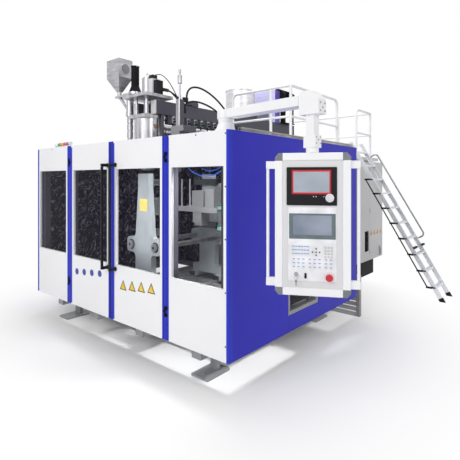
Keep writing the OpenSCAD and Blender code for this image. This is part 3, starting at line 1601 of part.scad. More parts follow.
// Accumulator head: die ring, banded shroud and top plate
module die_head() {
    color(steel) translate([head_x, part_y, 0]) {
        rotate_extrude() polygon([[30, head_bottom - 100], [85, head_bottom - 100], [100, head_bottom - 70],
            [130, head_bottom - 60], [130, head_bottom - fit], [30, head_bottom - fit]]);
        translate([0, 0, head_bottom]) difference() {
            cylinder(h = head_h, d = head_d);
            for (z = [head_h*0.32, head_h*0.66]) translate([0, 0, z]) rotate_extrude()
                translate([head_d/2 - 4, 0]) square([6, 12]);
            for (a = [20, 110, 200, 290]) rotate([0, 0, a]) translate([head_d/2, 0, head_h/2])
                cube([8, 10, head_h + 2], center = true);
        }
        translate([-190, -190, head_top + fit]) cube([380, 380, 45]);
        for (a = [45:90:315]) rotate([0, 0, a]) {
            rod_z([150, 0, head_top + 46], beam_top + 40 - head_top - 46, 36);
        }
        rod_z([0, 0, head_top + 46], beam_top - head_top - 40, 110);
    }
}

// Upper plate, accumulator cylinder, servo valve block and sensor box
module head_drive() {
    z0 = beam_top + 40 + fit;
    color(steel) {
        block([ext_x - 255, part_y - 230, z0], [ext_x + 255, part_y + 230, z0 + 40]);
        translate([head_x, part_y, z0 + 40 + fit]) {
            cylinder(h = 25, d = 200);
            cylinder(h = 240, d = 150);
            translate([0, 0, 240]) cylinder(h = 16, d = 120);
            for (a = [45:90:315]) rotate([0, 0, a]) translate([88, 0, 0]) cylinder(h = 40, d = 22);
        }
        translate([head_x, part_y, z0 + 40 + fit + 256 + 29]) rotate([90, 0, 0]) rotate_extrude()
            translate([26, 0]) circle(d = 12, $fn = 24);
    }
    color(light_grey) {
        block([head_x + 102, part_y - 70, z0 + 40 + 2*fit], [head_x + 185, part_y + 60, z0 + 250]);
    }
    color(near_black) {
        block([head_x + 187, part_y - 50, z0 + 40 + fit], [head_x + 245, part_y + 60, z0 + 225]);
        block([head_x + 105, part_y - 60, z0 + 250 + fit], [head_x + 175, part_y + 20, z0 + 300]);
        rod_y([head_x + 216, part_y + 60 + fit, z0 + 120], 110, 46);
    }
}

// Barrel with its heater bands and blower boxes
module barrel() {
    y0 = part_y + head_d/2 - 6;
    y1 = throat_y0 - fit;
    band = 160;
    pitch = 235;
    color(steel) {
        difference() {
            union() {
                rod_y([ext_x, y0, ext_z], y1 - y0, barrel_d - 50);
                for (i = [0:6]) rod_y([ext_x, y0 + 60 + i*pitch, ext_z], band, barrel_d);
                rod_y([ext_x, y0, ext_z], 40, barrel_d + 20);
                rod_y([ext_x, y1 - 40, ext_z], 40, barrel_d + 10);
            }
            translate([head_x, part_y, head_bottom - 1]) cylinder(h = head_h + 2, d = head_d + 2*fit);
        }
        for (i = [0, 2, 4, 6]) {
            y = y0 + 60 + i*pitch + band/2;
            block([ext_x - 60, y - 60, ext_z - barrel_d/2 - 62], [ext_x + 60, y + 60, ext_z - barrel_d/2 - fit]);
        }
    }
}

// Feed throat, gearbox and the shaft stub that leads into the belt guard
module gearbox() {
    y1 = gearbox_y0 + gearbox_len;
    color([0.42, 0.46, 0.52]) {
        block([ext_x - throat_w/2, throat_y0, ext_z - 130], [ext_x + throat_w/2, throat_y1, beam_z + 90]);
        block([ext_x - 110, throat_y1 + fit, ext_z - 110], [ext_x + 110, gearbox_y0 - fit, ext_z + 110]);
        difference() {
            block([ext_x - 215, gearbox_y0, walk_z + 50], [ext_x + 215, y1, beam_z - fit]);
            for (s = [-1, 1], y = [gearbox_y0 + 60 : 90 : y1 - 60]) {
                block([ext_x + s*215 - 12, y, walk_z + 90], [ext_x + s*215 + 12, y + 40, beam_z - 60]);
            }
        }
        block([ext_x - 130, gearbox_y0 + 40, beam_z + fit], [ext_x + 130, y1 - 20, beam_top + 230]);
    }
    color(steel) rod_y([ext_x, y1 - 20 + fit, beam_top + 130], guard_y0 - y1 + 20 - 2*fit, 70);
}

// Material hopper: a cylinder on a cone, open at the top, on the feed throat
module main_hopper() {
    wall = 4;
    neck = 70;
    neck_z = beam_z + 90 + fit;
    color(off_white) translate([ext_x, hopper_y, 0]) rotate_extrude() polygon([
        [neck - wall, neck_z], [neck + 45, neck_z], [neck + 45, neck_z + 10], [neck, neck_z + 10], [neck, neck_z + 60],
        [hopper_d/2, hopper_z], [hopper_d/2, hopper_z + hopper_h - 6], [hopper_d/2 + 10, hopper_z + hopper_h - 6],
        [hopper_d/2 + 10, hopper_z + hopper_h], [hopper_d/2 - wall, hopper_z + hopper_h],
        [hopper_d/2 - wall, hopper_z + 2], [neck - wall, neck_z + 62]]);
    color(mid_grey) for (s = [-1, 1]) hopper_ear(s, hopper_d/2 + 4, 26, 0);
}

lid_z = hopper_z + hopper_h + fit;
lid_hinge = [hopper_y + hopper_d/2 + 26, lid_z + 8];

// Ear of the hopper lid's hinge, bored for its pin
module hopper_ear(s, reach, w, low) {
    difference() {
        translate([ext_x + s*60 - 10, 0, 0]) rotate([90, 0, 90]) linear_extrude(20) union() {
            translate([hopper_y + reach, lid_z - 40]) square([22, 38]);
            translate(lid_hinge) circle(12);
            translate([lid_hinge[0] - 12, lid_z - 40]) square([24, 48]);
        }
        rod_x([ext_x + s*60 - 20, lid_hinge[0], lid_hinge[1]], 40, 12 + 2*running);
    }
}

module hopper_lid() {
    color(off_white) difference() {
        union() {
            rod_z([ext_x, hopper_y, lid_z], 6, hopper_d + 16);
            rod_z([ext_x, hopper_y, lid_z + 5], 10, 90);
            block([ext_x - 45, hopper_y + hopper_d/2 - 30, lid_z + 2], [ext_x + 45, lid_hinge[0], lid_z + 14]);
            rod_x([ext_x - 45, lid_hinge[0], lid_hinge[1]], 90, 22);
        }
        for (s = [-1, 1]) {
            block([ext_x + s*60 - 12, hopper_y + hopper_d/2 - 6, lid_z - 20], [ext_x + s*60 + 12, lid_hinge[0] + 40, lid_z + 40]);
        }
    }
    color(steel) rod_x([ext_x - 74, lid_hinge[0], lid_hinge[1]], 148, 12);
}

// Belt guard with its perforated front
module belt_guard() {
    x0 = ext_x - guard_left;
    x1 = ext_x + guard_right;
    z0 = beam_top + fit;
    y1 = guard_y0 + guard_d;
    inset = [x0 + 40, x1 - 100, z0 + 60, guard_z1 - 40];
    hole = 22;
    step = 44;
    color([0.42, 0.38, 0.72]) difference() {
        block([x0, guard_y0, z0], [x1, y1, guard_z1]);
        block([inset[0], guard_y0 - 1, inset[2]], [inset[1], guard_y0 + 8, inset[3]]);
    }
    color([0.7, 0.68, 0.92]) difference() {
        block([inset[0] + fit, guard_y0 + 2, inset[2] + fit], [inset[1] - fit, guard_y0 + 5, inset[3] - fit]);
        for (x = [inset[0] + 20 : step : inset[1] - 40], z = [inset[2] + 20 : step : inset[3] - 40]) {
            block([x, guard_y0, z], [x + hole, guard_y0 + 6, z + hole]);
        }
    }
}

// Drive motor with cooling fins, its foot frame and its fan cowl
module drive_motor() {
    y0 = guard_y0 + guard_d + fit;
    len = 400;
    r = motor_d/2;
    color(near_black) {
        translate([motor_x, y0 + 60, motor_z]) rotate([-90, 0, 0]) linear_extrude(len - 120) union() {
            circle(r - 18);
            for (a = [0 : 15 : 345]) rotate(a) translate([r - 22, -2.5]) square([22, 5]);
        }
        rod_y([motor_x, y0, motor_z], 60 - fit, motor_d);
        rod_y([motor_x, y0 + len - 60 + fit, motor_z], 80, motor_d - 20);
        block([motor_x + r - 40, y0 + 110, motor_z - 70], [motor_x + r + 50, y0 + 250, motor_z + 60]);
    }
    color([0.42, 0.38, 0.72]) {
        for (s = [-1, 1], y = [y0 + 30, y0 + len - 90]) {
            block([motor_x + s*110 - 25, y, beam_top + 12 + 2*fit], [motor_x + s*110 + 25, y + 50, motor_z - r - 12]);
        }
        block([motor_x - 150, y0 + 10, motor_z - r - 12 + fit], [motor_x + 150, y0 + len - 20, motor_z - r + 4]);
        block([ext_x - beam_off - 20, y0 + 10, beam_top + fit], [motor_x + 150, y0 + len - 20, beam_top + 12]);
    }
}

// Strip extruder beside the head: barrel, gearbox, motor, box hopper and feed pipe
module strip_extruder() {
    sx = ext_x - 355;
    sy = part_y - 30;
    flange_z = beam_top + 130;
    mx = sx + 115;
    hx = sx - 255;
    color(steel) {
        pitch = (head_h + 40)/6;
        for (i = [0:5]) rod_z([sx, sy, head_bottom + 40 + i*pitch], pitch - 15, 84);
        rod_z([sx, sy, head_bottom + 20], head_h + 50, 60);
        rod_z([sx, sy, head_top + 70 + fit], 60, 120);
        rod_z([sx, sy, head_top + 130 + 2*fit], flange_z - head_top - 130 - 3*fit, 106);
        block([sx - 40, sy - 40, head_bottom + 18], [head_x - head_d/2 - fit, sy + 40, head_bottom + 80]);
        translate([0, 0, flange_z]) linear_extrude(32) union() {
            translate([hx - 60, sy - 35]) square([mx + 80 - hx + 60, 70]);
            translate([sx - 90, sy - 60]) square([mx + 80 - sx + 90, 120]);
            translate([mx, sy]) circle(95);
        }
        block([ext_x - 250, sy - 60, beam_top + 80 + 2*fit], [ext_x - 190, sy + 60, flange_z - fit]);
        translate([hx + 15, sy, flange_z + 5]) rotate([0, 135, 0]) cylinder(h = 340, d = 46);
    }
    color(near_black) {
        translate([mx, sy, flange_z + 32 + fit]) cylinder(h = 90, d1 = 175, d2 = 108);
        rod_z([mx, sy, flange_z + 120], 265, 110);
        rod_z([mx, sy, flange_z + 384], 12, 118);
    }
    color(light_grey) translate([hx, sy, 0]) {
        rod_z([0, 0, flange_z + 32 + fit], 56 - 2*fit, 62);
        strip_hopper(flange_z + 88);
    }
}

// Four-sided funnel from a square outlet up to a wider rectangle
module funnel(z0, z1, r, top) {
    corner = [[-1, -1], [1, -1], [1, 1], [-1, 1]];
    polyhedron(concat([for (c = corner) [c[0]*r, c[1]*r, z0]], [for (c = corner) [c[0]*top[0], c[1]*top[1], z1]]),
        [[0, 1, 2, 3], [7, 6, 5, 4], [0, 4, 5, 1], [1, 5, 6, 2], [2, 6, 7, 3], [3, 7, 4, 0]]);
}

// Square hopper with sight windows over an inverted pyramid
module strip_hopper(z0) {
    w = strip_hopper_w;
    d = strip_hopper_d;
    wall = 3;
    cone_h = 190;
    box_z = z0 + cone_h;
    outlet = 60;
    difference() {
        union() {
            translate([-w/2, -d/2, box_z]) cube([w, d, strip_hopper_h]);
            funnel(z0, box_z + 0.1, outlet/2, [w/2, d/2]);
        }
        translate([-w/2 + wall, -d/2 + wall, box_z - 0.1]) cube([w - 2*wall, d - 2*wall, strip_hopper_h + 1]);
        funnel(z0 - 0.1, box_z + 0.05, outlet/2 - wall, [w/2 - wall, d/2 - wall]);
        rod_x([w/2 - 10, 0, box_z + strip_hopper_h*0.52], 20, 90);
    }
    rod_x([w/2 - wall, 0, box_z + strip_hopper_h*0.52], wall, 90 - 2*fit);
}

base_frame();
foot_plates();
enclosure_frame();
top_frame();
edge_profiles();
door_hinges();
left_panel();
right_panel();
fixed_windows();
side_panel_right();
discharge_frame();
side_panel_left();
rear_panel();
roof_deck();
signal_lamp();
cable_tray();
rear_frame();
platform_deck();
railings();
air_hoses();
ladder();
ladder_side_rail();
ladder_loop_rail();
electrical_cabinet();
hydraulic_unit();
conveyor_belt();
blow_unit();
hmi_arm_base();
left_door();
left_door_window();
left_door_handle();
right_door();
right_door_window();
right_door_handle();
cabinet_door();
hmi_arm();
hmi_housing();
hmi_front_plate();
hmi_handles();
estop_button();
jog_knob();
key_switch();
carriage();
front_platen();
clamp_yoke();
rear_platen();
blow_pin();
takeout_unit();
drive_roller();
idler_roller();
platform_beams();
die_head();
head_drive();
barrel();
gearbox();
main_hopper();
hopper_lid();
belt_guard();
drive_motor();
strip_extruder();
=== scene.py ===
# %% [markdown]
# # Dressing a blow moulding machine
# This machine melts plastic in an extruder on its roof and lets a soft tube of it hang down
# between two mould halves. A clamp closes them, and a pin blows the tube out against the
# mould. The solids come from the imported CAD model. This lesson loads them, gives each one a
# finish, adds the small trim that a factory fits last, and sets up a plain studio.

import math

import bmesh
import bpy
from mathutils import Matrix, Vector


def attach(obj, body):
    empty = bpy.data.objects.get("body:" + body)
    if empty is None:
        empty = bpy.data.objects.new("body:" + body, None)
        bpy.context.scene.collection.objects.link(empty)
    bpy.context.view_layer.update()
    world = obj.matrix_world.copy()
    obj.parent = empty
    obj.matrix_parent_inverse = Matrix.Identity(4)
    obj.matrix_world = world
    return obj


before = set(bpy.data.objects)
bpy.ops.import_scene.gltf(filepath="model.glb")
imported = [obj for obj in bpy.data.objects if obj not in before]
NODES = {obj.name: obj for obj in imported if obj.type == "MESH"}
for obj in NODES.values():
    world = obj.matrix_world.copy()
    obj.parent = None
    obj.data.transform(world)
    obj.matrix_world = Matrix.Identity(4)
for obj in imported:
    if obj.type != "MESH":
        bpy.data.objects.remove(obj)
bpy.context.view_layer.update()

# %% [markdown]
# The picture is taken at eye height, about three and a half metres from the front right
# corner. A camera tipped down would make upright edges lean together. This one looks level,
# and its lens is shifted down instead, so they stay upright, as in a product photograph.

# %% Camera
EYE = (4.0232, -3.9468, 1.888)
TURN = math.radians(40.4153)
SENSOR, LENS, SHIFT = 36, 31.77, -0.109


def add_object(name, data):
    thing = bpy.data.objects.new(name, data)
    bpy.context.collection.objects.link(thing)
    return thing


lens = bpy.data.cameras.new("camera")
lens.sensor_width = SENSOR
lens.lens = LENS
lens.shift_y = SHIFT
camera = add_object("camera", lens)
camera.location = EYE
camera.rotation_euler = (math.pi / 2, 0, TURN)
bpy.context.scene.camera = camera
bpy.context.scene.view_settings.view_transform = "Standard"
print("camera at", EYE, "with a lens of", LENS, "mm")

# %% [markdown]
# A white studio lights everything softly. A world bright enough to show as white would wash
# the colours out, so the two jobs are split. The world lights the machine at its own level,
# and Light Path shows plain white to the camera, and in what mirrors it or lets it through.

# %% World
SKY_LEVEL = 0.49


def seen_rays(tree):
    """1 for what the camera sees, straight, mirrored or through a pane, and else 0."""
    path = tree.nodes.new("ShaderNodeLightPath")
    total = path.outputs["Is Camera Ray"]
    for ray in ("Is Glossy Ray", "Is Transmission Ray"):
        most = tree.nodes.new("ShaderNodeMath")
        most.operation = "MAXIMUM"
        tree.links.new(total, most.inputs[0])
        tree.links.new(path.outputs[ray], most.inputs[1])
        total = most.outputs[0]
    return total


def studio_sky(level):
    world = bpy.data.worlds.new("studio")
    bpy.context.scene.world = world
    world.use_nodes = True
    tree = world.node_tree
    tree.nodes.clear()
    out = tree.nodes.new("ShaderNodeOutputWorld")
    light = tree.nodes.new("ShaderNodeBackground")
    light.inputs["Strength"].default_value = level
    white = tree.nodes.new("ShaderNodeBackground")
    white.inputs["Color"].default_value = (1, 1, 1, 1)
    white.inputs["Strength"].default_value = 1
    mix = tree.nodes.new("ShaderNodeMixShader")
    tree.links.new(seen_rays(tree), mix.inputs[0])
    tree.links.new(light.outputs[0], mix.inputs[1])
    tree.links.new(white.outputs[0], mix.inputs[2])
    tree.links.new(mix.outputs[0], out.inputs[0])


studio_sky(SKY_LEVEL)
print("sky at", SKY_LEVEL)

# %% [markdown]
# Three large lamps give the walls their slow gradients. Little of that light falls through
# the windows, so three small panels light the work space. Seen bare, they would show as
# white patches in the panes and the steel, so they only light and aren't seen themselves.

# %% Lamps
OUTSIDE = (
    ("key", (1.5, -8.0, 6.0), (0, 0, 1.5), 5.0, 308),
    ("side", (8.5, -1.5, 4.5), (1, 0, 1.5), 4.0, 112),
    ("top", (-0.5, 0.5, 8.0), (0, 0, 1.5), 4.0, 350),
)
INSIDE = (
    ("inside_front", (0.36, -1.27, 1.5), (0.36, 0.0, 1.5), 0.8, 3.4, 1.0),
    ("inside_right", (1.34, -1.27, 1.5), (1.34, 0.0, 1.5), 0.7, 5, 1.0),
    ("inside_above", (1.40, -0.95, 2.2), (1.15, -0.1, 1.3), 0.4, 46, 0.4),
)


def lamp(name, place, aim, size, power, tall=None):
    """A square lamp, or with tall an upright panel that isn't seen itself."""
    data = bpy.data.lights.new(name, "AREA")
    data.size = size
    data.energy = power
    thing = add_object(name, data)
    thing.location = place
    thing.rotation_euler = (Vector(aim) - Vector(place)).to_track_quat("-Z", "Y").to_euler()
    if tall is not None:
        data.shape = "RECTANGLE"
        data.size_y = tall
        thing.visible_camera = thing.visible_glossy = thing.visible_transmission = False


for row in OUTSIDE + INSIDE:
    lamp(*row)
print(len(OUTSIDE), "lamps outside and", len(INSIDE), "in the work space")

# %% [markdown]
# The floor is pale and keeps the machine's shadow. A plain disc would end in a grey horizon,
# so a few metres out it turns into pure white, as a paper sweep does in a studio.

# %% Floor
FLOOR_RADIUS = 60.0
FLOOR_DROP = 0.001
WHITENS_FROM, WHITENS_TO = 1.4, 3.8


def new_finish(name):
    material = bpy.data.materials.new(name)
    material.use_nodes = True
    tree = material.node_tree
    print("finish", name)
    return material, tree, tree.nodes["Principled BSDF"]


def floor_finish():
    material, tree, shader = new_finish("floor_white")
    shader.inputs["Base Color"].default_value = (0.93, 0.93, 0.93, 1)
    shader.inputs["Roughness"].default_value = 0.9
    shader.inputs["Specular IOR Level"].default_value = 0.1
    glow = tree.nodes.new("ShaderNodeEmission")
    glow.inputs["Color"].default_value = (1, 1, 1, 1)
    place = tree.nodes.new("ShaderNodeTexCoord")
    far = tree.nodes.new("ShaderNodeVectorMath")
    far.operation = "LENGTH"
    fade = tree.nodes.new("ShaderNodeMapRange")
    fade.inputs["From Min"].default_value = WHITENS_FROM
    fade.inputs["From Max"].default_value = WHITENS_TO
    both = tree.nodes.new("ShaderNodeMath")
    both.operation = "MULTIPLY"
    mix = tree.nodes.new("ShaderNodeMixShader")
    tree.links.new(place.outputs["Object"], far.inputs[0])
    tree.links.new(far.outputs["Value"], fade.inputs["Value"])
    tree.links.new(fade.outputs["Result"], both.inputs[0])
    tree.links.new(seen_rays(tree), both.inputs[1])
    tree.links.new(both.outputs[0], mix.inputs[0])
    tree.links.new(shader.outputs[0], mix.inputs[1])
    tree.links.new(glow.outputs[0], mix.inputs[2])
    tree.links.new(mix.outputs[0], tree.nodes["Material Output"].inputs[0])
    return material


def studio_floor():
    mesh = bpy.data.meshes.new("floor")
    bm = bmesh.new()
    bmesh.ops.create_circle(bm, cap_ends=True, segments=96, radius=FLOOR_RADIUS)
    bm.to_mesh(mesh)
    bm.free()
    mesh.materials.append(floor_finish())
    floor = add_object("floor", mesh)
    floor.location.z = -FLOOR_DROP


studio_floor()

# %% [markdown]
# Colours are written as they look in a picture, from 0 to 255. The shader needs linear
# values, which could be worked out beforehand, but then nobody could read them off a picture.

# %% Colour helpers


def seen(red, green, blue):
    def linear(v):
        v = v / 255
        return v / 12.92 if v <= 0.04045 else ((v + 0.055) / 1.055) ** 2.4

    return (linear(red), linear(green), linear(blue), 1.0)


def shade(colour, factor):
    return tuple(min(1.0, c * factor) for c in colour[:3]) + (1.0,)


print("mid grey is", round(seen(128, 128, 128)[0], 3), "in linear light")

# %% [markdown]
# A finish is a small network of nodes. One flat colour would look like paper, so each finish
# lets a few noises change its tone, its gloss and its bumps. Noise is chosen over painted
# pictures because it runs round every corner without a seam and needs no unwrapping.

# %% Finish kit


def noise(tree, scale, detail, stretch=(1, 1, 1)):
    place = tree.nodes.new("ShaderNodeTexCoord")
    move = tree.nodes.new("ShaderNodeMapping")
    move.inputs["Scale"].default_value = stretch
    field = tree.nodes.new("ShaderNodeTexNoise")
    field.inputs["Scale"].default_value = scale
    field.inputs["Detail"].default_value = detail
    tree.links.new(place.outputs["Object"], move.inputs["Vector"])
    tree.links.new(move.outputs["Vector"], field.inputs["Vector"])
    return field.outputs["Fac"]


def tones(tree, shader, factor, stops):
    """Colour the shader by a ramp of (place, colour) stops."""
    ramp = tree.nodes.new("ShaderNodeValToRGB")
    marks = ramp.color_ramp.elements
    while len(marks) < len(stops):
        marks.new(0.5)
    for mark, (at, colour) in zip(marks, stops):
        mark.position = at
        mark.color = colour
    tree.links.new(factor, ramp.inputs["Fac"])
    tree.links.new(ramp.outputs["Color"], shader.inputs["Base Color"])


def drift_tone(tree, shader, factor, colour, drift, edge=0.3):
    """Darker and lighter by drift where the noise is low and high."""
    tones(tree, shader, factor,
          [(edge, shade(colour, 1 - drift)), (1 - edge, shade(colour, 1 + drift))])


def uneven_gloss(tree, shader, factor, low, high):
    span = tree.nodes.new("ShaderNodeMapRange")
    span.inputs["To Min"].default_value = low
    span.inputs["To Max"].default_value = high
    tree.links.new(factor, span.inputs["Value"])
    tree.links.new(span.outputs["Result"], shader.inputs["Roughness"])


def ripple(tree, shader, height, strength, depth):
    bump = tree.nodes.new("ShaderNodeBump")
    bump.inputs["Strength"].default_value = strength
    bump.inputs["Distance"].default_value = depth
    tree.links.new(height, bump.inputs["Height"])
    tree.links.new(bump.outputs["Normal"], shader.inputs["Normal"])


print("finish kit ready")

# %% [markdown]
# Powder coat is a baked plastic skin on the sheet steel. Close up it has a faint orange-peel
# ripple, and from afar its tone drifts a little. Both come from noise at their own scale. The
# dark coats get a low mirror value, because the white studio would turn them grey.

# %% Powder coat


def powder_coat(name, rgb, roughness=0.38, drift=0.05, peel=0.12, gloss=0.15, mirror=0.3):
    """peel is the strength of the ripple, and gloss that of a clear coat over the colour."""
    material, tree, shader = new_finish(name)
    drift_tone(tree, shader, noise(tree, 1.3, 4), seen(*rgb), drift)
    uneven_gloss(tree, shader, noise(tree, 7, 5), roughness - 0.05, roughness + 0.07)
    shader.inputs["Coat Weight"].default_value = gloss
    shader.inputs["Coat Roughness"].default_value = 0.2
    shader.inputs["Specular IOR Level"].default_value = mirror + gloss
    ripple(tree, shader, noise(tree, 420, 2), peel, 0.0006)
    return material


white_coat = powder_coat("white_powder_coat", (243, 243, 245), 0.36, 0.02)
blue_coat = powder_coat("blue_powder_coat", (42, 40, 182), 0.5, 0.06, gloss=0.0)
profile_coat = powder_coat("blue_profile_coat", (46, 56, 192), 0.42, 0.05, 0.05, 0.0, 0.22)
grey_coat = powder_coat("dark_grey_coat", (86, 84, 95), 0.45, 0.14, 0.12, 0.0, 0.25)
pale_coat = powder_coat("pale_grey_coat", (220, 220, 222), 0.48, 0.03, 0.25)
mid_coat = powder_coat("mid_grey_coat", (150, 151, 154), 0.45, 0.06)
black_coat = powder_coat("black_coat", (20, 19, 23), 0.5, 0.15, 0.12, 0.0, 0.08)
louvre_coat = powder_coat("louvre_coat", (146, 146, 150), 0.45, 0.08)
guard_coat = powder_coat("guard_blue_coat", (110, 98, 190), 0.4, 0.06)
lavender_coat = powder_coat("lavender_coat", (208, 204, 246), 0.42, 0.04)

# %% [markdown]
# Inside, the walls are dark and mottled, with blurred reflections all over. The reflections are
# painted: the lightest tone of the mottle stands in for them. Patches set by hand would look
# drawn. A noise with a strong swirl, bent by a coarser one, gives a restless pattern without
# repeats, and the gloss follows it.

# %% Dark inner walls


def mottled_wall_painted_reflections(name, dark, middle, light):
    material, tree, shader = new_finish(name)
    bend = noise(tree, 2.2, 3, (1, 1, 0.5))
    field = tree.nodes.new("ShaderNodeTexNoise")
    field.inputs["Scale"].default_value = 7.0
    field.inputs["Detail"].default_value = 6
    field.inputs["Distortion"].default_value = 3.0
    place = tree.nodes.new("ShaderNodeTexCoord")
    push = tree.nodes.new("ShaderNodeVectorMath")
    push.operation = "ADD"
    tree.links.new(place.outputs["Object"], push.inputs[0])
    tree.links.new(bend, push.inputs[1])
    tree.links.new(push.outputs["Vector"], field.inputs["Vector"])
    # The lightest of the three tones is painted reflection on the dark wall.
    tones(tree, shader, field.outputs["Fac"],
          [(0.40, seen(*dark)), (0.53, seen(*middle)), (0.66, seen(*light))])
    uneven_gloss(tree, shader, field.outputs["Fac"], 0.2, 0.55)
    shader.inputs["Specular IOR Level"].default_value = 0.25
    ripple(tree, shader, bend, 0.3, 0.01)
    return material


inner_coat = mottled_wall_painted_reflections("inner_dark_coat", (18, 14, 26), (44, 40, 56), (140, 136, 150))

# %% [markdown]
# Machined and rolled metal shows fine parallel lines. They are too fine to model, so a noise
# is stretched along the direction in which the metal was worked, and it drives both the
# gloss and the bump. A slower noise changes the tone, partly at random and partly as painted
# reflection, streaked like the mirrored surroundings on a tube.

# %% Worked metal


def worked_metal(name, rgb, roughness, lines=(1, 1, 30), drift=0.14, reflection_stretch=(1, 1, 1)):
    """The last argument streaks the slow change of tone as a painted reflection,
    as where a tube mirrors upright things.
    """
    material, tree, shader = new_finish(name)
    grain = noise(tree, 90, 4, lines)
    drift_tone(tree, shader, noise(tree, 5, 5, reflection_stretch), seen(*rgb), drift, 0.25)
    shader.inputs["Metallic"].default_value = 0.9
    uneven_gloss(tree, shader, grain, roughness - 0.1, roughness + 0.15)
    ripple(tree, shader, grain, 0.25, 0.0002)
    return material


# Ground steel and heater band steel drift strongly in long streaks: painted reflections.
steel = worked_metal("ground_steel", (184, 185, 189), 0.3, drift=0.3, reflection_stretch=(3, 3, 0.4))
steel_turned = worked_metal("turned_steel", (160, 161, 166), 0.28, (1, 1, 60), 0.2)
stainless = worked_metal("stainless_sheet", (214, 214, 218), 0.4, (1, 1, 25), 0.16, (1, 1, 4))
hopper_sheet = worked_metal("hopper_sheet", (180, 180, 184), 0.36, (1, 1, 25), 0.3, (1, 1, 5))
aluminium = worked_metal("drawn_aluminium", (228, 229, 233), 0.42, (12, 12, 1), 0.05)
deck_plate = worked_metal("deck_plate", (190, 191, 194), 0.42, (1, 6, 1), 0.1)
band_steel = worked_metal("heater_band_steel", (184, 183, 187), 0.26, (1, 1, 12), 0.45,
                          (4, 4, 0.5))
bar_steel = worked_metal("milled_bar_steel", (118, 121, 124), 0.42, (1, 30, 1), 0.2)
dark_chrome = worked_metal("rail_chrome", (142, 143, 148), 0.25, (1, 1, 40), 0.2)

# %% [markdown]
# The platens are painted castings. Sand leaves a pebbled skin under the paint, and the tone
# is uneven. That could be a powder coat with a stronger ripple, but a casting is pebbled at a
# coarser scale and is more blotchy, so it gets a recipe and three tones of its own.

# %% Painted casting


def casting(name, rgb):
    material, tree, shader = new_finish(name)
    colour = seen(*rgb)
    tones(tree, shader, noise(tree, 4, 6),
          [(0.25, shade(colour, 0.8)), (0.5, colour), (0.8, shade(colour, 1.12))])
    shader.inputs["Roughness"].default_value = 0.46
    shader.inputs["Coat Weight"].default_value = 0.2
    ripple(tree, shader, noise(tree, 150, 5), 0.4, 0.001)
    return material


platen_cast = casting("painted_casting", (176, 184, 188))
gear_cast = casting("gearbox_casting", (120, 126, 138))

# %% [markdown]
# Grips, hoses, keys and lenses are rubber and plastic, moulded in one colour. They have a
# soft broad highlight and a fine grain. One recipe with its own colour and gloss is enough
# for all of them, because only those two differ from part to part.

# %% Rubber and plastic


def moulded(name, rgb, roughness, mirror=0.5):
    material, tree, shader = new_finish(name)
    drift_tone(tree, shader, noise(tree, 9, 4), seen(*rgb), 0.15)
    uneven_gloss(tree, shader, noise(tree, 30, 3), roughness - 0.06, roughness + 0.06)
    shader.inputs["Specular IOR Level"].default_value = mirror
    ripple(tree, shader, noise(tree, 260, 3), 0.25, 0.0004)
    return material


black_rubber = moulded("black_rubber", (26, 25, 30), 0.6, 0.2)
black_plastic = moulded("black_plastic", (24, 24, 27), 0.36, 0.22)
grey_plastic = moulded("grey_plastic", (120, 122, 128), 0.45)
pale_plastic = moulded("pale_plastic", (236, 236, 240), 0.4)
duct_plastic = moulded("duct_plastic", (186, 184, 172), 0.55)
teal_plastic = moulded("teal_plastic", (40, 168, 140), 0.4)
red_plastic = moulded("red_plastic", (206, 28, 44), 0.3)
blue_tube = moulded("blue_tube", (34, 84, 176), 0.3)
yellow_plastic = moulded("yellow_plastic", (240, 200, 60), 0.4)
sign_blue = moulded("sign_blue", (206, 208, 226), 0.4)
key_blue = moulded("key_blue", (120, 152, 214), 0.45)

# %% [markdown]
# The windows are clear plastic sheet. Real refraction would be slow and grainy in so thin a
# pane. A low alpha lets the inside show instead, and the smooth surface still mirrors the
# studio, so the panes read as panes. A screen is an opaque glass with a slow change of tone.

# %% Clear sheet and screens


def clear_sheet(name, rgb, alpha):
    material, tree, shader = new_finish(name)
    shader.inputs["Base Color"].default_value = seen(*rgb)
    shader.inputs["Alpha"].default_value = alpha
    shader.inputs["Roughness"].default_value = 0.06
    shader.inputs["Specular IOR Level"].default_value = 0.22
    ripple(tree, shader, noise(tree, 3, 2), 0.08, 0.004)
    return material


def screen_glass(name, top, bottom):
    material, tree, shader = new_finish(name)
    tones(tree, shader, noise(tree, 5, 2), [(0.3, seen(*top)), (0.75, seen(*bottom))])
    shader.inputs["Roughness"].default_value = 0.16
    shader.inputs["Coat Weight"].default_value = 0.5
    return material


window_sheet = clear_sheet("window_sheet", (40, 38, 52), 0.14)
screen_face = screen_glass("screen_face", (150, 160, 172), (176, 186, 196))
lcd_face = screen_glass("lcd_face", (116, 128, 146), (150, 158, 176))

# %% [markdown]
# Every CAD node keeps its shape and takes these finishes in its material slots. Most nodes
# are one material through and through, so a table of names dresses them. It is sorted by
# finish, so that all parts of one finish can be seen, and changed, together.

# %% Nodes with one finish
ONE_FINISH = (
    (white_coat, "railings hmi_arm_base hmi_arm hmi_handles"),
    (profile_coat, "edge_profiles"),
    (grey_coat, "enclosure_frame top_frame"),
    (mid_coat, "base_frame foot_plates discharge_frame carriage"),
    (pale_coat, "rear_frame"),
    (black_coat, "door_hinges ladder_side_rail drive_motor"),
    (window_sheet, "fixed_windows left_door_window right_door_window"),
    (deck_plate, "roof_deck platform_deck"),
    (duct_plastic, "cable_tray"),
    (black_rubber, "air_hoses conveyor_belt"),
    (black_plastic, "left_door_handle right_door_handle"),
    (red_plastic, "estop_button"),
    (steel, "key_switch"),
    (steel_turned, "blow_pin drive_roller idler_roller"),
    (stainless, "jog_knob main_hopper hopper_lid"),
    (aluminium, "takeout_unit"),
    (dark_chrome, "ladder_loop_rail"),
    (band_steel, "barrel die_head"),
    (gear_cast, "gearbox"),
)


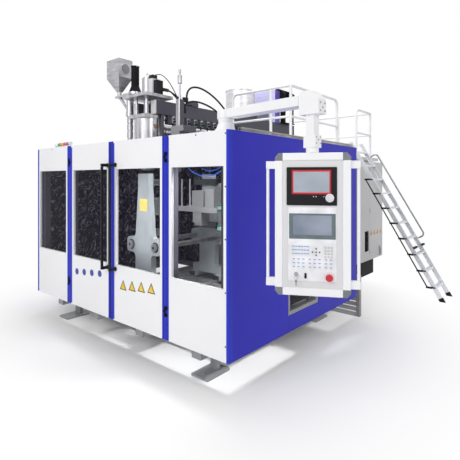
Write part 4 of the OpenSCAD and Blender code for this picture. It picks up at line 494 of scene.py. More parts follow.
def dress(node, *finishes):
    mesh = NODES[node].data
    mesh.materials.clear()
    for finish in finishes:
        mesh.materials.append(finish)
    print(node, "takes", ", ".join(finish.name for finish in finishes))


for finish, names in ONE_FINISH:
    for node in names.split():
        dress(node, finish)

# %% [markdown]
# Sheet walls are coated outside and dark inside, and a door holds blue profiles and black
# hinge parts as well. They could be separate nodes, but they never move apart. So a node
# like that takes several slots, and each face is picked by where it lies or looks.

# %% Walls and doors
FRONT = -1.3302
CLOSE = 0.0001
DOORS = {"left_door": (-0.853, -0.0188), "right_door": (0.0797, 0.9138)}


def pick(node, slot, part, test):
    """Move the faces whose centre and normal pass the test to a slot."""
    faces = [f for f in NODES[node].data.polygons if test(f.center, f.normal)]
    for face in faces:
        face.material_index = slot
    print(node, "has", len(faces), "faces on its", part)


for node, inward in (("left_panel", 1), ("right_panel", 1), ("rear_panel", -1)):
    dress(node, white_coat, inner_coat)
    pick(node, 1, "inner skin", lambda c, n: n.y * inward > 0.5)
for node, inward in (("side_panel_right", -1), ("side_panel_left", 1)):
    dress(node, blue_coat, inner_coat)
    pick(node, 1, "inner skin", lambda c, n: n.x * inward > 0.5)
for node, (left, right) in DOORS.items():
    dress(node, white_coat, profile_coat, black_coat, inner_coat)
    pick(node, 3, "inner skin", lambda c, n: n.y > 0.5)
    pick(node, 1, "side profiles", lambda c, n: c.x < left + CLOSE or c.x > right - CLOSE)
    pick(node, 2, "hinge knuckles", lambda c, n: c.y < FRONT + CLOSE)

# %% [markdown]
# The control panel stands turned on its swivel, so nothing on it lines up with the room. A
# matrix that undoes the turn gives each place in the panel's own directions: x sideways, y
# from front to back, z up. The same matrix, forwards, sets the trim on the panel later.

# %% Control panel
SWIVEL = (2.5646, -1.3097, 0)
ON_PANEL = Matrix.Translation(SWIVEL) @ Matrix.Rotation(math.radians(29), 4, "Z")
OFF_PANEL = ON_PANEL.inverted()
PANEL_HALF, PANEL_FRAME = 0.268, 0.056
PANEL_LOW, PANEL_HIGH = 1.053, 2.083
UNITS_FROM, UNITS_MEET = -0.0371, 1.70


def frame_corner(place, normal):
    return (abs((OFF_PANEL @ place).x) > PANEL_HALF - PANEL_FRAME - 0.0005
            and not PANEL_LOW + PANEL_FRAME < place.z < PANEL_HIGH - PANEL_FRAME)


dress("hmi_housing", white_coat, grey_plastic)
pick("hmi_housing", 1, "corner pieces", frame_corner)
dress("hmi_front_plate", pale_coat, black_plastic, pale_plastic)
pick("hmi_front_plate", 1, "display unit",
     lambda c, n: (OFF_PANEL @ c).y < UNITS_FROM and c.z > UNITS_MEET)
pick("hmi_front_plate", 2, "keypad unit",
     lambda c, n: (OFF_PANEL @ c).y < UNITS_FROM and c.z < UNITS_MEET)

# %% [markdown]
# Each platen is a painted casting with bare milled bars, to which a mould is screwed. Two tie
# bars of ground steel join the front one to its yoke. The ladder is drawn aluminium on rubber
# feet, and the beams under the extruder end in pale plates. Each finish starts or ends at a
# plane between two pieces of a node, so the places of those planes are all that is needed.

# %% Clamp, ladder and beams
CLAMP_X = 0.235
TIE_BAR_Z, TIE_BAR_OUT = 1.13, 0.217
FEET_TOP, FEET_FROM = 0.06, 2.35
FRONT_BARS_FROM, REAR_BARS_TO = -0.9649, 0.0249
RAM_FROM, CYLINDER_FROM = 0.1003, 0.4102
END_PLATES_TO = -0.5199


def on_tie_bar(place, normal):
    return (abs(place.z - TIE_BAR_Z) < 0.05
            and abs(abs(place.x - CLAMP_X) - TIE_BAR_OUT) < 0.05)


dress("ladder", aluminium, black_rubber)
pick("ladder", 1, "feet", lambda c, n: c.z < FEET_TOP and c.x > FEET_FROM)
dress("front_platen", platen_cast, bar_steel)
pick("front_platen", 1, "mould bars", lambda c, n: c.y > FRONT_BARS_FROM)
dress("rear_platen", platen_cast, bar_steel)
pick("rear_platen", 1, "mould bars and ram", lambda c, n: c.y < REAR_BARS_TO or c.y > RAM_FROM)
dress("clamp_yoke", platen_cast, steel, mid_coat)
pick("clamp_yoke", 1, "tie bars", on_tie_bar)
pick("clamp_yoke", 2, "cylinder", lambda c, n: c.y > CYLINDER_FROM)
dress("platform_beams", grey_coat, pale_coat)
pick("platform_beams", 1, "end plates", lambda c, n: c.y < END_PLATES_TO)

# %% [markdown]
# The machines on the roof mix finishes: a black motor and a bright sheet hopper on one steel
# frame, a lavender perforated sheet in a darker guard, and a plug box with black connectors
# on the head. On the blow unit, the faces that look right above the roof are painted dark
# grey as painted shade.

# %% Gear on the roof
STRIP_COLLAR, MOTOR_FROM, HOPPER_TO = 3.1022, -0.735, -0.86
GLASS_FROM, GLASS_RADIUS = -0.8685, 0.0455
DRIVE_PLATE, PLUG_BOX_FROM, PLUG_BOX_TOP = 3.0205, -0.3035, 3.2301
SIDE_PLUG_FROM, TOP_PLUG_FROM = -0.2185, -0.302
SHEET_FROM, SHEET_TO = 2.2215, 2.2255
ROOF, BLOW_PLATE = 2.33, 2.5611


def on_glass(place, normal):
    return (place.x > GLASS_FROM and normal.x > 0.9
            and math.hypot(place.z - 3.483, place.y + 0.5) < GLASS_RADIUS)


def on_plug(place, normal):
    return (place.x > SIDE_PLUG_FROM and place.z > DRIVE_PLATE
            or place.x > TOP_PLUG_FROM and place.z > PLUG_BOX_TOP)


dark_glass = screen_glass("sight_glass", (104, 104, 108), (140, 140, 144))
dress("strip_extruder", steel, black_coat, hopper_sheet, dark_glass)
pick("strip_extruder", 1, "gear motor", lambda c, n: c.x > MOTOR_FROM and c.z > STRIP_COLLAR)
pick("strip_extruder", 2, "box hopper", lambda c, n: c.x < HOPPER_TO and c.z > STRIP_COLLAR)
pick("strip_extruder", 3, "sight glass", on_glass)
dress("head_drive", steel, pale_coat, black_plastic)
pick("head_drive", 1, "plug box", lambda c, n: c.x > PLUG_BOX_FROM and c.z > DRIVE_PLATE)
pick("head_drive", 2, "connectors", on_plug)
dress("belt_guard", guard_coat, lavender_coat)
pick("belt_guard", 1, "perforated sheet",
     lambda c, n: SHEET_FROM < c.y < SHEET_TO or n.y < -0.7)
dress("blow_unit", mid_coat, steel, grey_coat)
pick("blow_unit", 1, "square cylinder", lambda c, n: c.z > BLOW_PLATE)
# Painted shade: the right-facing faces above the roof take the dark grey coat.
pick("blow_unit", 2, "painted shade side", lambda c, n: n.x > 0.7 and c.z > ROOF)

# %% [markdown]
# The signal lamp on the roof edge is a pale bar with five coloured lenses of one width. A
# loop along the bar gives each lens its slot, so their places follow from one number.

# %% Signal lamp
BAR_LEFT, BAR_TOP, LENS_WIDE = -1.354, 2.3385, 0.0732
LENSES = (("white", (240, 240, 240)), ("green", (26, 186, 118)), ("orange", (255, 160, 26)),
          ("red", (240, 34, 92)), ("grey", (110, 114, 108)))
dress("signal_lamp", pale_plastic, *(moulded("lens_" + hue, rgb, 0.25) for hue, rgb in LENSES))
for index, (hue, _) in enumerate(LENSES):
    start = BAR_LEFT + index * LENS_WIDE
    pick("signal_lamp", index + 1, hue + " lens",
         lambda c, n: start < c.x < start + LENS_WIDE and c.z > BAR_TOP)

# %% [markdown]
# Under the platform stand the electrical cabinet, with a black plinth, a black vent and
# gear inside, and the oil unit with its louvred shield.

# %% Cabinet and oil unit
PLINTH_TOP, VENT_TOP, LATCH_TOP = 0.2769, 0.9, 0.55
VENT_FROM, VENT_TO = 3.8385, 4.0425
GEAR_TO, VENT_BACK, DOOR_FACE, SHIELD_FROM = 0.62, 0.845, 0.8702, 1.3


def in_vent(place, normal):
    return (place.x > VENT_BACK and VENT_FROM < place.y < VENT_TO and place.z < VENT_TOP
            and abs(normal.x) < 0.99 and abs(normal.y) < 0.5)


dress("electrical_cabinet", pale_coat, black_coat, steel)
pick("electrical_cabinet", 1, "plinth and vent",
     lambda c, n: c.z < PLINTH_TOP or in_vent(c, n))
pick("electrical_cabinet", 2, "gear inside", lambda c, n: c.x < GEAR_TO and c.z > 0.3)
dress("cabinet_door", pale_coat, steel)
pick("cabinet_door", 1, "latch", lambda c, n: c.x > DOOR_FACE and c.z < LATCH_TOP)
dress("hydraulic_unit", mid_coat, louvre_coat)
pick("hydraulic_unit", 1, "louvred shield", lambda c, n: c.x > SHIELD_FROM)

# %% [markdown]
# The small parts below could each be built from Blender's own menu of solids, but their
# edges would be knife sharp. This short kit gathers boxes, drums and prisms in one mesh,
# bevels the edges the way a press or a mould rounds them, and lets the part ride on the body
# that carries it.

# %% Small parts kit
THIRDS = (0, 2 * math.pi / 3, 4 * math.pi / 3)
made = []


def paint(new, slot):
    """Move the faces of a new solid to a slot."""
    for face in {f for v in new["verts"] for f in v.link_faces}:
        face.material_index = slot


def slab(bm, low, high, slot=0):
    size = [high[i] - low[i] for i in range(3)]
    middle = [(high[i] + low[i]) / 2 for i in range(3)]
    shape = Matrix.Translation(middle) @ Matrix.Diagonal((*size, 1))
    paint(bmesh.ops.create_cube(bm, size=1, matrix=shape), slot)


def drum(bm, middle, axis, radius, length, slot=0, sides=24):
    turn = Vector((0, 0, 1)).rotation_difference(Vector(axis)).to_matrix().to_4x4()
    paint(bmesh.ops.create_cone(bm, cap_ends=True, segments=sides, radius1=radius,
                                radius2=radius, depth=length,
                                matrix=Matrix.Translation(middle) @ turn), slot)


def triangle(middle, across, up):
    """The corners of a triangle that reaches up and across from its middle."""
    return [tuple(m + a * math.sin(turn) + u * math.cos(turn)
                  for m, a, u in zip(middle, across, up)) for turn in THIRDS]


def prism(bm, corners, depth, slot=0):
    """A flat outline of (x, y, z) corners pushed along depth."""
    front = [bm.verts.new(c) for c in corners]
    back = [bm.verts.new(Vector(c) + Vector(depth)) for c in corners]
    faces = [bm.faces.new(front), bm.faces.new(back[::-1])]
    for i in range(len(corners)):
        j = (i + 1) % len(corners)
        faces.append(bm.faces.new((front[i], front[j], back[j], back[i])))
    for face in faces:
        face.material_index = slot


def finish_part(name, bm, finishes, body, soft, place=None):
    """Turn bm into a part that rides on body; soft is the width of its bevel."""
    bmesh.ops.recalc_face_normals(bm, faces=bm.faces)
    if place is not None:
        bmesh.ops.transform(bm, matrix=place, verts=bm.verts)
    mesh = bpy.data.meshes.new(name)
    bm.to_mesh(mesh)
    bm.free()
    for finish in finishes:
        mesh.materials.append(finish)
    thing = add_object(name, mesh)
    edges = thing.modifiers.new("soft_edges", "BEVEL")
    edges.width = soft
    edges.segments = 2
    edges.limit_method = "ANGLE"
    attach(thing, body)
    made.append(name)
    print(name, "has", len(mesh.polygons), "faces and rides on", body)


print("small parts kit ready")

# %% [markdown]
# The display is a black unit with a touch screen behind a red-edged bezel, and three tiny
# lamps below it. A painted edge would look flat. The bezel is a real ring, so the glass lies
# a little deeper and catches its shadow, as on the real unit.

# %% Display


def ring(bm, middle, outer, inner, front, back, shift=0.0):
    """A rectangular ring; shift lifts the opening above the middle."""
    x, z = middle
    (ow, oh), (iw, ih) = outer, inner
    zi = z + shift
    slab(bm, (x - ow / 2, front, z - oh / 2), (x - iw / 2, back, z + oh / 2))
    slab(bm, (x + iw / 2, front, z - oh / 2), (x + ow / 2, back, z + oh / 2))
    slab(bm, (x - iw / 2, front, zi + ih / 2), (x + iw / 2, back, z + oh / 2))
    slab(bm, (x - iw / 2, front, z - oh / 2), (x + iw / 2, back, zi - ih / 2))


bm = bmesh.new()
ring(bm, (-0.008, 1.872), (0.276, 0.174), (0.254, 0.150), -0.0436, -0.0424)
finish_part("display_bezel", bm, [red_plastic], "control_panel", 0.0006, ON_PANEL)
bm = bmesh.new()
slab(bm, (-0.1425, -0.0428, 1.7925), (0.1265, -0.0409, 1.9515))
finish_part("display_screen", bm, [screen_face], "control_panel", 0.0005, ON_PANEL)
bm = bmesh.new()
for x, radius in ((0.008, 0.0035), (0.026, 0.0035), (0.081, 0.003)):
    drum(bm, (x, -0.0427, 1.768), (0, -1, 0), radius, 0.0014, 0, 16)
finish_part("display_lamps", bm, [pale_plastic], "control_panel", 0.0003, ON_PANEL)

# %% [markdown]
# The keypad unit carries a wide grey-green bezel around a small screen. The same ring makes
# it, with the opening a little above the middle.

# %% Small screen
UNIT_FACE = -0.0414
bezel_green = moulded("bezel_green", (96, 112, 116), 0.35)
bm = bmesh.new()
ring(bm, (-0.0015, 1.5543), (0.328, 0.183), (0.274, 0.143), -0.0430, UNIT_FACE, 0.0082)
finish_part("keypad_bezel", bm, [bezel_green], "control_panel", 0.0006, ON_PANEL)
bm = bmesh.new()
slab(bm, (-0.1405, -0.0412, 1.489), (0.1365, -0.0399, 1.636))
finish_part("keypad_screen", bm, [lcd_face], "control_panel", 0.0005, ON_PANEL)

# %% [markdown]
# Under the small screen are the keys, in blocks with an even pitch. Each one is a raised cap,
# and most have a plain blue field above them. Lists of their places make all of them in one
# mesh, because they share one frame and never move.

# %% Keys
KEY_FRONT = -0.0429
FIELD_KEYS = [(-0.136 + col * 0.021, 1.398 - row * 0.0262) for row in range(3) for col in range(6)]
for start, columns in ((-0.132, 3), (-0.018, 3), (0.0955, 2)):
    FIELD_KEYS += [(start + col * 0.034, 1.3065 - row * 0.028)
                   for row in range(3) for col in range(columns)]
NUMBER_KEYS = [(0.0915 + col * 0.022, 1.403 - row * 0.022) for col in range(3) for row in range(4)]
ROUND_KEYS = [(0.0262 + dx, 1.37 + dz)
              for dx, dz in ((0, 0.0245), (-0.0245, 0), (0, 0), (0.0245, 0), (0, -0.0215))]


def key_at(bm, x, z, wide, high, slot):
    slab(bm, (x - wide / 2, KEY_FRONT, z - high / 2), (x + wide / 2, UNIT_FACE, z + high / 2),
         slot)


bm = bmesh.new()
for x, z in FIELD_KEYS:
    key_at(bm, x, z, 0.019, 0.013, 0)
    slab(bm, (x - 0.0085, KEY_FRONT - 0.0007, z + 0.0085), (x + 0.0085, UNIT_FACE, z + 0.0135), 1)
for x, z in NUMBER_KEYS:
    key_at(bm, x, z, 0.016, 0.015, 2)
for x, z in ROUND_KEYS:
    key_at(bm, x, z, 0.018, 0.018, 0)
    drum(bm, (x, KEY_FRONT - 0.0002, z), (0, -1, 0), 0.0052, 0.0022, 3, 12)
key_face = moulded("key_face", (232, 233, 236), 0.45)
key_grey = moulded("key_grey", (206, 208, 204), 0.45)
finish_part("panel_keys", bm, [key_face, key_blue, key_grey, black_plastic], "control_panel",
            0.0005, ON_PANEL)
print(len(FIELD_KEYS) + len(NUMBER_KEYS) + len(ROUND_KEYS), "keys")

# %% [markdown]
# Along the bottom edge sit a data socket behind a black cover, and the lock whose spare key
# hangs from its ring. A torus would do for the ring, but short rods in a circle are made by
# the same kit and look the same at this size.

# %% Socket cover and spare key
RING_X, RING_Y, RING_Z, RING_RADIUS = -0.115, -0.072, 1.184, 0.011
RING_STEPS = 20


def on_ring(step):
    turn = 2 * math.pi * step / RING_STEPS
    return Vector((RING_X + RING_RADIUS * math.cos(turn), RING_Y,
                   RING_Z + RING_RADIUS * math.sin(turn)))


bm = bmesh.new()
slab(bm, (-0.0565, -0.0440, 1.179), (-0.0405, UNIT_FACE, 1.217))
slab(bm, (-0.0530, -0.0452, 1.186), (-0.0440, -0.0438, 1.210))
finish_part("socket_cover", bm, [black_plastic], "control_panel", 0.0012, ON_PANEL)

key_steel = worked_metal("key_steel", (150, 150, 152), 0.3)
bm = bmesh.new()
for step in range(RING_STEPS):
    start, end = on_ring(step), on_ring(step + 1)
    drum(bm, (start + end) / 2, end - start, 0.0014, (end - start).length * 1.1, 0, 8)
drum(bm, (RING_X, -0.0725, 1.163), (0, -1, 0), 0.010, 0.003, 0, 20)
slab(bm, (-0.1185, -0.0738, 1.128), (-0.1115, -0.0712, 1.156))
for notch in range(3):
    z = 1.131 + notch * 0.007
    slab(bm, (-0.1115, -0.0738, z), (-0.109, -0.0712, z + 0.0035))
finish_part("spare_key", bm, [key_steel], "key", 0.0003, ON_PANEL)

# %% [markdown]
# The arm of the panel is bolted together from boxes. Socket screws show on the end faces of
# the elbow and of the lower bracket: a head with a dark hexagon in it. A sunk hexagon would
# take a boolean cut for each screw. A dark plug, hardly raised, is painted shade that reads
# the same as the shadow in the socket.

# %% Screws of the panel arm
ON_ARM = Matrix.Translation((1.65, -1.22, 0)) @ Matrix.Rotation(math.radians(-5.6), 4, "Z")
ELBOW_FACE, BRACKET_FACE = 0.919 + 0.0851, 0.919 + 0.0521


def socket_screw(bm, middle, axis, radius):
    axis = Vector(axis).normalized()
    middle = Vector(middle)
    drum(bm, middle + axis * radius * 0.25, axis, radius, radius * 0.5, 0, 20)
    # The dark hexagon is painted shade, in place of the shadow inside a sunk socket.
    drum(bm, middle + axis * radius * 0.5, axis, radius * 0.5, radius * 0.14, 1, 6)


bm = bmesh.new()
for y, z in ((-0.026, 2.438), (0.030, 2.436), (0.002, 2.405), (-0.028, 2.382), (0.030, 2.381)):
    socket_screw(bm, (ELBOW_FACE, y, z), (1, 0, 0), 0.0075)
for y, z in ((-0.026, 2.196), (0.026, 2.196), (0, 2.176), (-0.026, 2.152), (0.026, 2.152)):
    socket_screw(bm, (BRACKET_FACE, y, z), (1, 0, 0), 0.0065)
finish_part("arm_screws", bm, [steel, black_plastic], "panel_arm", 0.0004, ON_ARM)

# %% [markdown]
# Blackened screws hold the blue profiles and the right panel, a little under half a metre
# apart. Their spacing is a touch uneven on the real frame, so their heights are listed
# instead of worked out from one pitch.

# %% Screws of the front
bm = bmesh.new()
for x in (0.9868, -0.9268):
    for z in (2.281, 1.828, 1.381, 0.924, 0.47):
        socket_screw(bm, (x, FRONT - 0.0002, z), (0, -1, 0), 0.0062)
for z in (2.287, 1.83, 1.377, 0.92, 0.46):
    socket_screw(bm, (1.7445, FRONT, z), (0, -1, 0), 0.0065)
for x in (-1.36, 1.385):
    socket_screw(bm, (x, FRONT, 2.296), (0, -1, 0), 0.0065)
finish_part("front_screws", bm, [black_plastic, black_plastic], "machine", 0.0004)

# %% [markdown]
# Plain signs mark the doors: blue discs on the left one, and yellow triangles with a dark
# border on the right one. They are thin printed plates. Each is made as two thin solids, one
# on the other, so that its rim has real thickness and the border a clean edge.

# %% Door signs
BLUE_AT = ((-0.709, 0.748), (-0.539, 0.764), (-0.368, 0.780), (-0.198, 0.796))
YELLOW_AT = ((0.265, 0.724), (0.425, 0.740), (0.583, 0.757), (0.746, 0.770))
sign_blue_face = moulded("sign_blue_face", (46, 52, 152), 0.4)
bm = bmesh.new()
for x, z in BLUE_AT:
    drum(bm, (x, FRONT - 0.0004, z), (0, -1, 0), 0.044, 0.0012, 0, 40)
    drum(bm, (x, FRONT - 0.0008, z), (0, -1, 0), 0.038, 0.0012, 1, 40)
finish_part("blue_signs", bm, [sign_blue, sign_blue_face], "left_door", 0.0003)

bm = bmesh.new()
for x, z in YELLOW_AT:
    for side, front, back, slot in ((0.124, FRONT - 0.0010, FRONT, 0),
                                    (0.092, FRONT - 0.0016, FRONT - 0.0009, 1)):
        reach = side / math.sqrt(3)
        corners = triangle((x, front, z), (reach, 0, 0), (0, 0, reach))
        prism(bm, corners, (0, back - front, 0), slot)
finish_part("yellow_signs", bm, [black_plastic, yellow_plastic], "right_door", 0.0003)

# %% [markdown]
# A plain yellow plate marks the front platen. Rows of socket screws hold its mould bars, and
# a dark collar and socket show on each nut; the dark hexagon of the socket is painted shade.
# The node's box can't place them, because its shoes stand further forward than the arm. A ray
# shot at the casting finds the face itself.

# %% Platen plate and screws


def surface_at(node, start, way):
    """Where a ray from start meets the node, and the way that the surface faces there."""
    hit, place, normal, _ = NODES[node].ray_cast(Vector(start), Vector(way))
    assert hit, f"the ray misses {node}"
    return place, normal


platen_face = surface_at("front_platen", (CLAMP_X, -3, 1.6), (0, 1, 0))[0].y
bar_face = surface_at("front_platen", (CLAMP_X + 0.17, -3, 1.6), (0, 1, 0))[0].y
plate_yellow = moulded("plate_yellow", (250, 222, 120), 0.5)
bm = bmesh.new()
slab(bm, (0.176, platen_face - 0.004, 1.530), (0.312, platen_face + 0.0002, 1.668))
finish_part("platen_plate", bm, [plate_yellow], "front_platen", 0.001)

bm = bmesh.new()
for side in (-1, 1):
    for x in (0.112, 0.140, 0.168):
        for z in (1.503, 1.671, 1.835, 1.885):
            place = (CLAMP_X + side * x, bar_face - 0.0003, z)
            socket_screw(bm, place, (0, -1, 0), 0.0085)
finish_part("mould_bar_screws", bm, [steel, black_plastic], "front_platen", 0.0004)

bm = bmesh.new()
for side in (-1, 1):
    x = CLAMP_X + side * TIE_BAR_OUT
    nut_face = surface_at("clamp_yoke", (x, -3, TIE_BAR_Z), (0, 1, 0))[0].y
    # The dark hexagon on the nut face is painted shade of its socket.
    drum(bm, (x, nut_face - 0.0012, TIE_BAR_Z), (0, -1, 0), 0.016, 0.0024, 0, 6)
    drum(bm, (x, platen_face - 0.0012, TIE_BAR_Z), (0, -1, 0), 0.058, 0.0024, 0, 32)
finish_part("nut_collars", bm, [black_plastic], "front_platen", 0.0004)
print("platen face at", round(platen_face, 4), "and bar face at", round(bar_face, 4))

# %% [markdown]
# Plain orange triangles warn of voltage on the cabinet door. They are made as those of the
# front, but look to the side and are a quarter taller.

# %% Cabinet signs
sign_orange = moulded("sign_orange", (222, 150, 40), 0.45)
SIGN_REACH = 0.058
bm = bmesh.new()
for y in (4.16, 4.33, 4.50, 4.68):
    corners = triangle((0.8712, y, 0.806), (0, SIGN_REACH, 0), (0, 0, SIGN_REACH * 1.25))
    prism(bm, corners, (-0.0014, 0, 0))
finish_part("cabinet_signs", bm, [sign_orange], "cabinet_door", 0.0004)

# %% [markdown]
# A narrow blue cover closes the left edge of the front, and thin blue strips widen the
# profiles along the doors. A black seal runs down the edge where the two doors meet. All are
# thin folded or moulded strips, so a slim box with a soft edge is their true shape.

# %% Edge cover and door seal
STRIP_LOW, STRIP_HIGH = 0.335, 2.298
STRIPS = (
    ("left_door_strip", "left_door", -0.8535, -0.8275, 0.0012, profile_coat, 0.0005),
    ("right_door_strip", "right_door", 0.0790, 0.0995, 0.0012, profile_coat, 0.0005),
    ("right_panel_strip", "machine", 0.9960, 1.0150, 0.0012, profile_coat, 0.0005),
    ("door_seal", "left_door", 0.0195, 0.0295, 0.0022, black_rubber, 0.0009),
)
bm = bmesh.new()
slab(bm, (-1.777, FRONT - 0.0016, 0.322), (-1.742, FRONT + 0.0002, 2.312))
finish_part("left_edge_cover", bm, [profile_coat], "machine", 0.0007)
for name, body, left, right, proud, finish, soft in STRIPS:
    bm = bmesh.new()
    slab(bm, (left, FRONT - proud, STRIP_LOW), (right, FRONT + 0.0002, STRIP_HIGH))
    finish_part(name, bm, [finish], body, soft)

# %% [markdown]
# The box hopper has a round sight glass in a flat ring with eight screws. The ring hides the
# edge of the glass, so two discs, one on the other, are enough, and no ring has to be cut.

# %% Sight glass of the box hopper
GLASS_Y, GLASS_Z, SCREW_CIRCLE = -0.505, 3.466, 0.0745
hopper_face = surface_at("strip_extruder", (1, -0.59, 3.57), (-1, 0, 0))[0].x
bm = bmesh.new()
drum(bm, (hopper_face + 0.0018, GLASS_Y, GLASS_Z), (1, 0, 0), 0.080, 0.004, 0, 48)
drum(bm, (hopper_face + 0.0030, GLASS_Y, GLASS_Z), (1, 0, 0), 0.069, 0.004, 1, 48)
for step in range(8):
    turn = math.radians(22.5 + 45 * step)
    y = GLASS_Y + SCREW_CIRCLE * math.cos(turn)
    z = GLASS_Z + SCREW_CIRCLE * math.sin(turn)
    drum(bm, (hopper_face + 0.0044, y, z), (1, 0, 0), 0.0035, 0.002, 2, 12)
finish_part("hopper_sight_glass", bm, [steel, dark_glass, black_plastic], "machine", 0.0005)
print("hopper face at", round(hopper_face, 4))

# %% [markdown]
# Under the platform beam hangs a valve manifold: a dark bar with a row of small valves, each
# with its coil, plug and pipe. One loop makes them all, because such a row is bought as equal
# blocks and bolted together.

# %% Valve manifold
VALVES, VALVE_PITCH, FIRST_VALVE = 9, 0.135, -0.24
beam_under = surface_at("platform_beams", (-0.214, 0.2, 1.0), (0, 0, 1))[0].z
top = beam_under - 0.012
bm = bmesh.new()
slab(bm, (-0.258, -0.30, beam_under - 0.115), (-0.182, 0.98, beam_under - 0.0002), 0)
for index in range(VALVES):
    y = FIRST_VALVE + index * VALVE_PITCH
    slab(bm, (-0.182, y - 0.026, top - 0.092), (-0.128, y + 0.026, top), 1)
    drum(bm, (-0.112, y, top - 0.03), (1, 0, 0), 0.019, 0.034, 0, 20)
    drum(bm, (-0.112, y, top - 0.072), (1, 0, 0), 0.015, 0.034, 2, 20)
    slab(bm, (-0.128, y - 0.015, top - 0.052), (-0.098, y + 0.015, top - 0.048), 3)
    drum(bm, (-0.155, y, top - 0.115), (0, 0, 1), 0.011, 0.05, 2, 16)
finish_part("valve_manifold", bm, [grey_coat, steel, black_plastic, teal_plastic], "machine",
            0.0015)

# %% [markdown]
# The die head carries one plain orange triangle on its round shroud. A ray from the camera
# finds the spot on the shroud, and the sign is laid square to the surface there, so it
# neither sinks into the curve nor floats off it.

# %% Head sign
way = (Vector((-0.204, -0.5, 2.6)) - Vector(EYE)).normalized()
spot, facing = surface_at("die_head", EYE, way)
flat = Vector((facing.x, facing.y, 0)).normalized()
across = Vector((-flat.y, flat.x, 0))
bm = bmesh.new()
for size, out, slot in ((0.040, 0.0030, 0), (0.029, 0.0040, 1)):
    corners = triangle(spot + flat * out, across * size, (0, 0, -size))
    prism(bm, corners, -flat * 0.0035, slot)
finish_part("head_sign", bm, [black_plastic, sign_orange], "machine", 0.0003)

# %% [markdown]
# Rubber sleeves sit on the brackets of the ladder's dark rail, evenly spaced, so a loop
# steps them along the slope. A cross bar with two grips crosses the ladder under the loop
# rail.

# %% Ladder sleeves and grips
SLEEVES = 8
TREAD_X, TREAD_Z = -0.14145, 0.24235
GRIP_X, GRIP_Z = 2.045, 0.792
bm = bmesh.new()
for index in range(SLEEVES):
    x, z = 2.232 + TREAD_X * index, 0.200 + TREAD_Z * index
    slab(bm, (x - 0.004, 2.908, z - 0.0145), (x + 0.088, 2.9338, z + 0.0145))
finish_part("ladder_sleeves", bm, [black_rubber], "machine", 0.006)
bm = bmesh.new()
drum(bm, (GRIP_X, 3.215, GRIP_Z), (0, 1, 0), 0.009, 0.56, 1, 20)
for y in (3.005, 3.415):
    drum(bm, (GRIP_X, y, GRIP_Z), (0, 1, 0), 0.021, 0.135, 0, 28)
finish_part("ladder_cross_grips", bm, [black_rubber, dark_chrome], "machine", 0.004)

# %% [markdown]
# Two push-in air couplings, teal with a white band, sit on the right-hand post behind the
# window. Each is a small block with three discs on one axis, as it is turned in reality.

# %% Air couplings
COUPLING_Y = -1.262
post_side = surface_at("enclosure_frame", (1.5, COUPLING_Y, 1.55), (1, 0, 0))[0].x
bm = bmesh.new()
for z in (1.639, 1.456):
    slab(bm, (post_side - 0.030, COUPLING_Y - 0.010, z - 0.008),
         (post_side + 0.0002, COUPLING_Y + 0.010, z + 0.008), 1)
    drum(bm, (post_side - 0.042, COUPLING_Y, z), (0, 0, 1), 0.017, 0.030, 1, 24)
    for shift in (-0.022, 0.022):
        drum(bm, (post_side - 0.042, COUPLING_Y, z + shift), (0, 0, 1), 0.020, 0.016, 0, 24)
finish_part("air_couplings", bm, [teal_plastic, pale_plastic], "machine", 0.001)
print("post side at", round(post_side, 4))

# %% [markdown]
# Cables and tubes are drawn as one smooth curve through a few points, which is simpler than
# letting a simulated rope settle and gives the same bends each time. Each is fixed at both
# ends, so its length is the length of the curve.

# %% Cable kit


def smooth_path(points, steps=8):
    """Catmull-Rom curve through the points."""
    ends = [2 * Vector(points[0]) - Vector(points[1])] + [Vector(p) for p in points]
    ends.append(2 * Vector(points[-1]) - Vector(points[-2]))
    path = []
    for i in range(1, len(ends) - 2):
        a, b, c, d = ends[i - 1 : i + 3]
        for step in range(steps):
            t = step / steps
            path.append(0.5 * (2 * b + (c - a) * t + (2 * a - 5 * b + 4 * c - d) * t * t
                               + (3 * b - a - 3 * c + d) * t ** 3))
    path.append(ends[-2])
    return path


def cable(name, diameter, finish, points):
    path = smooth_path(points)
    curve = bpy.data.curves.new(name, "CURVE")
    curve.dimensions = "3D"
    curve.bevel_depth = diameter / 2
    curve.bevel_resolution = 3
    curve.use_fill_caps = True
    line = curve.splines.new("POLY")
    line.points.add(len(path) - 1)
    for point, at in zip(line.points, path):
        point.co = (*at, 1)
    curve.materials.append(finish)
    thing = add_object(name, curve)
    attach(thing, "machine")
    made.append(name)


print("cable kit ready")

# %% [markdown]
# On the head, a thin grey cable loops from the plug box, and two thick black ones leave the
# connectors. All three run down in loose bends to a small box on the platform beam.

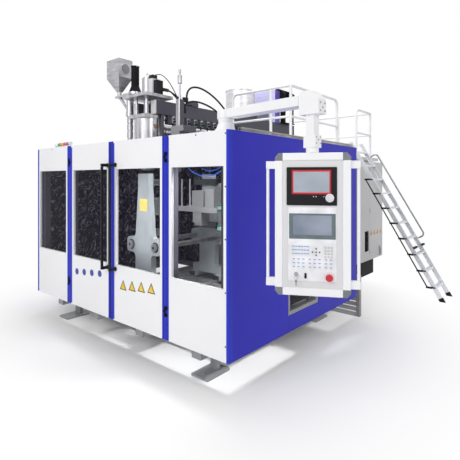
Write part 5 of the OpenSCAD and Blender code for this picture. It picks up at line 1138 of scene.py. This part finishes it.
# %% Head cables
grey_cable = moulded("grey_cable", (90, 92, 96), 0.45)
cable("head_cable_thin", 0.012, grey_cable, (
    (-0.235, -0.50, 3.255), (-0.20, -0.50, 3.275), (-0.13, -0.46, 3.27),
    (-0.075, -0.40, 3.20), (-0.06, -0.33, 3.11), (-0.075, -0.25, 3.03),
    (-0.12, -0.17, 2.975), (-0.18, -0.08, 2.948), (-0.215, 0.02, 2.9462),
    (-0.222, 0.13, 2.9462)))
cable("head_cable_left", 0.020, black_rubber, (
    (-0.189, -0.300, 3.10), (-0.182, -0.25, 3.085), (-0.176, -0.18, 3.035),
    (-0.178, -0.10, 2.982), (-0.190, -0.01, 2.954), (-0.197, 0.13, 2.9505)))
cable("head_cable_right", 0.016, black_rubber, (
    (-0.160, -0.42, 3.07), (-0.118, -0.414, 3.069), (-0.080, -0.385, 3.061),
    (-0.060, -0.320, 3.040), (-0.072, -0.225, 3.005), (-0.112, -0.115, 2.968),
    (-0.153, -0.005, 2.9505), (-0.172, 0.13, 2.949)))

# %% [markdown]
# At the foot of the panel arm two black cables cross the roof edge and go into the wiring
# duct behind it.

# %% Arm cables
cable("arm_cable_upper", 0.018, black_rubber, (
    (1.66, -1.150, 2.345), (1.67, -1.12, 2.352), (1.69, -1.06, 2.350),
    (1.705, -0.99, 2.338), (1.715, -0.93, 2.334)))
cable("arm_cable_lower", 0.018, black_rubber, (
    (1.62, -1.155, 2.340), (1.62, -1.12, 2.345), (1.64, -1.05, 2.340),
    (1.67, -0.97, 2.331), (1.716, -0.88, 2.334)))

# %% [markdown]
# The box for the head cables is a shallow tray with a lid and three hexagonal glands. A cable
# that just touched the beam would look cut off, so each one runs into a gland.

# %% Cable box
bm = bmesh.new()
slab(bm, (-0.252, 0.125, 2.9401), (-0.148, 0.245, 2.996), 0)
slab(bm, (-0.246, 0.131, 2.996), (-0.154, 0.239, 3.004), 0)
for x in (-0.222, -0.197, -0.172):
    drum(bm, (x, 0.118, 2.9535), (0, 1, 0), 0.0118, 0.016, 1, 6)
finish_part("cable_box", bm, [grey_coat, black_plastic], "machine", 0.0015)

# %% [markdown]
# Two blue air tubes hang behind the right window from the top rail, in one loop each. The
# tube is springy, so its points lie on a round bend and not on the sharp one of a limp cord.

# %% Air tubes in the right bay
cable("air_tube_long", 0.010, blue_tube, (
    (1.12, -1.235, 2.285), (1.125, -1.235, 2.16), (1.17, -1.23, 2.02), (1.28, -1.22, 1.945),
    (1.42, -1.22, 1.925), (1.56, -1.22, 1.95), (1.66, -1.23, 2.03), (1.70, -1.235, 2.16),
    (1.70, -1.235, 2.285)))
cable("air_tube_short", 0.010, blue_tube, (
    (1.20, -1.18, 2.285), (1.21, -1.18, 2.16), (1.27, -1.17, 2.03), (1.38, -1.16, 1.975),
    (1.50, -1.16, 1.99), (1.60, -1.17, 2.06), (1.64, -1.18, 2.17), (1.64, -1.18, 2.285)))
print(len(made), "small parts and cables made")
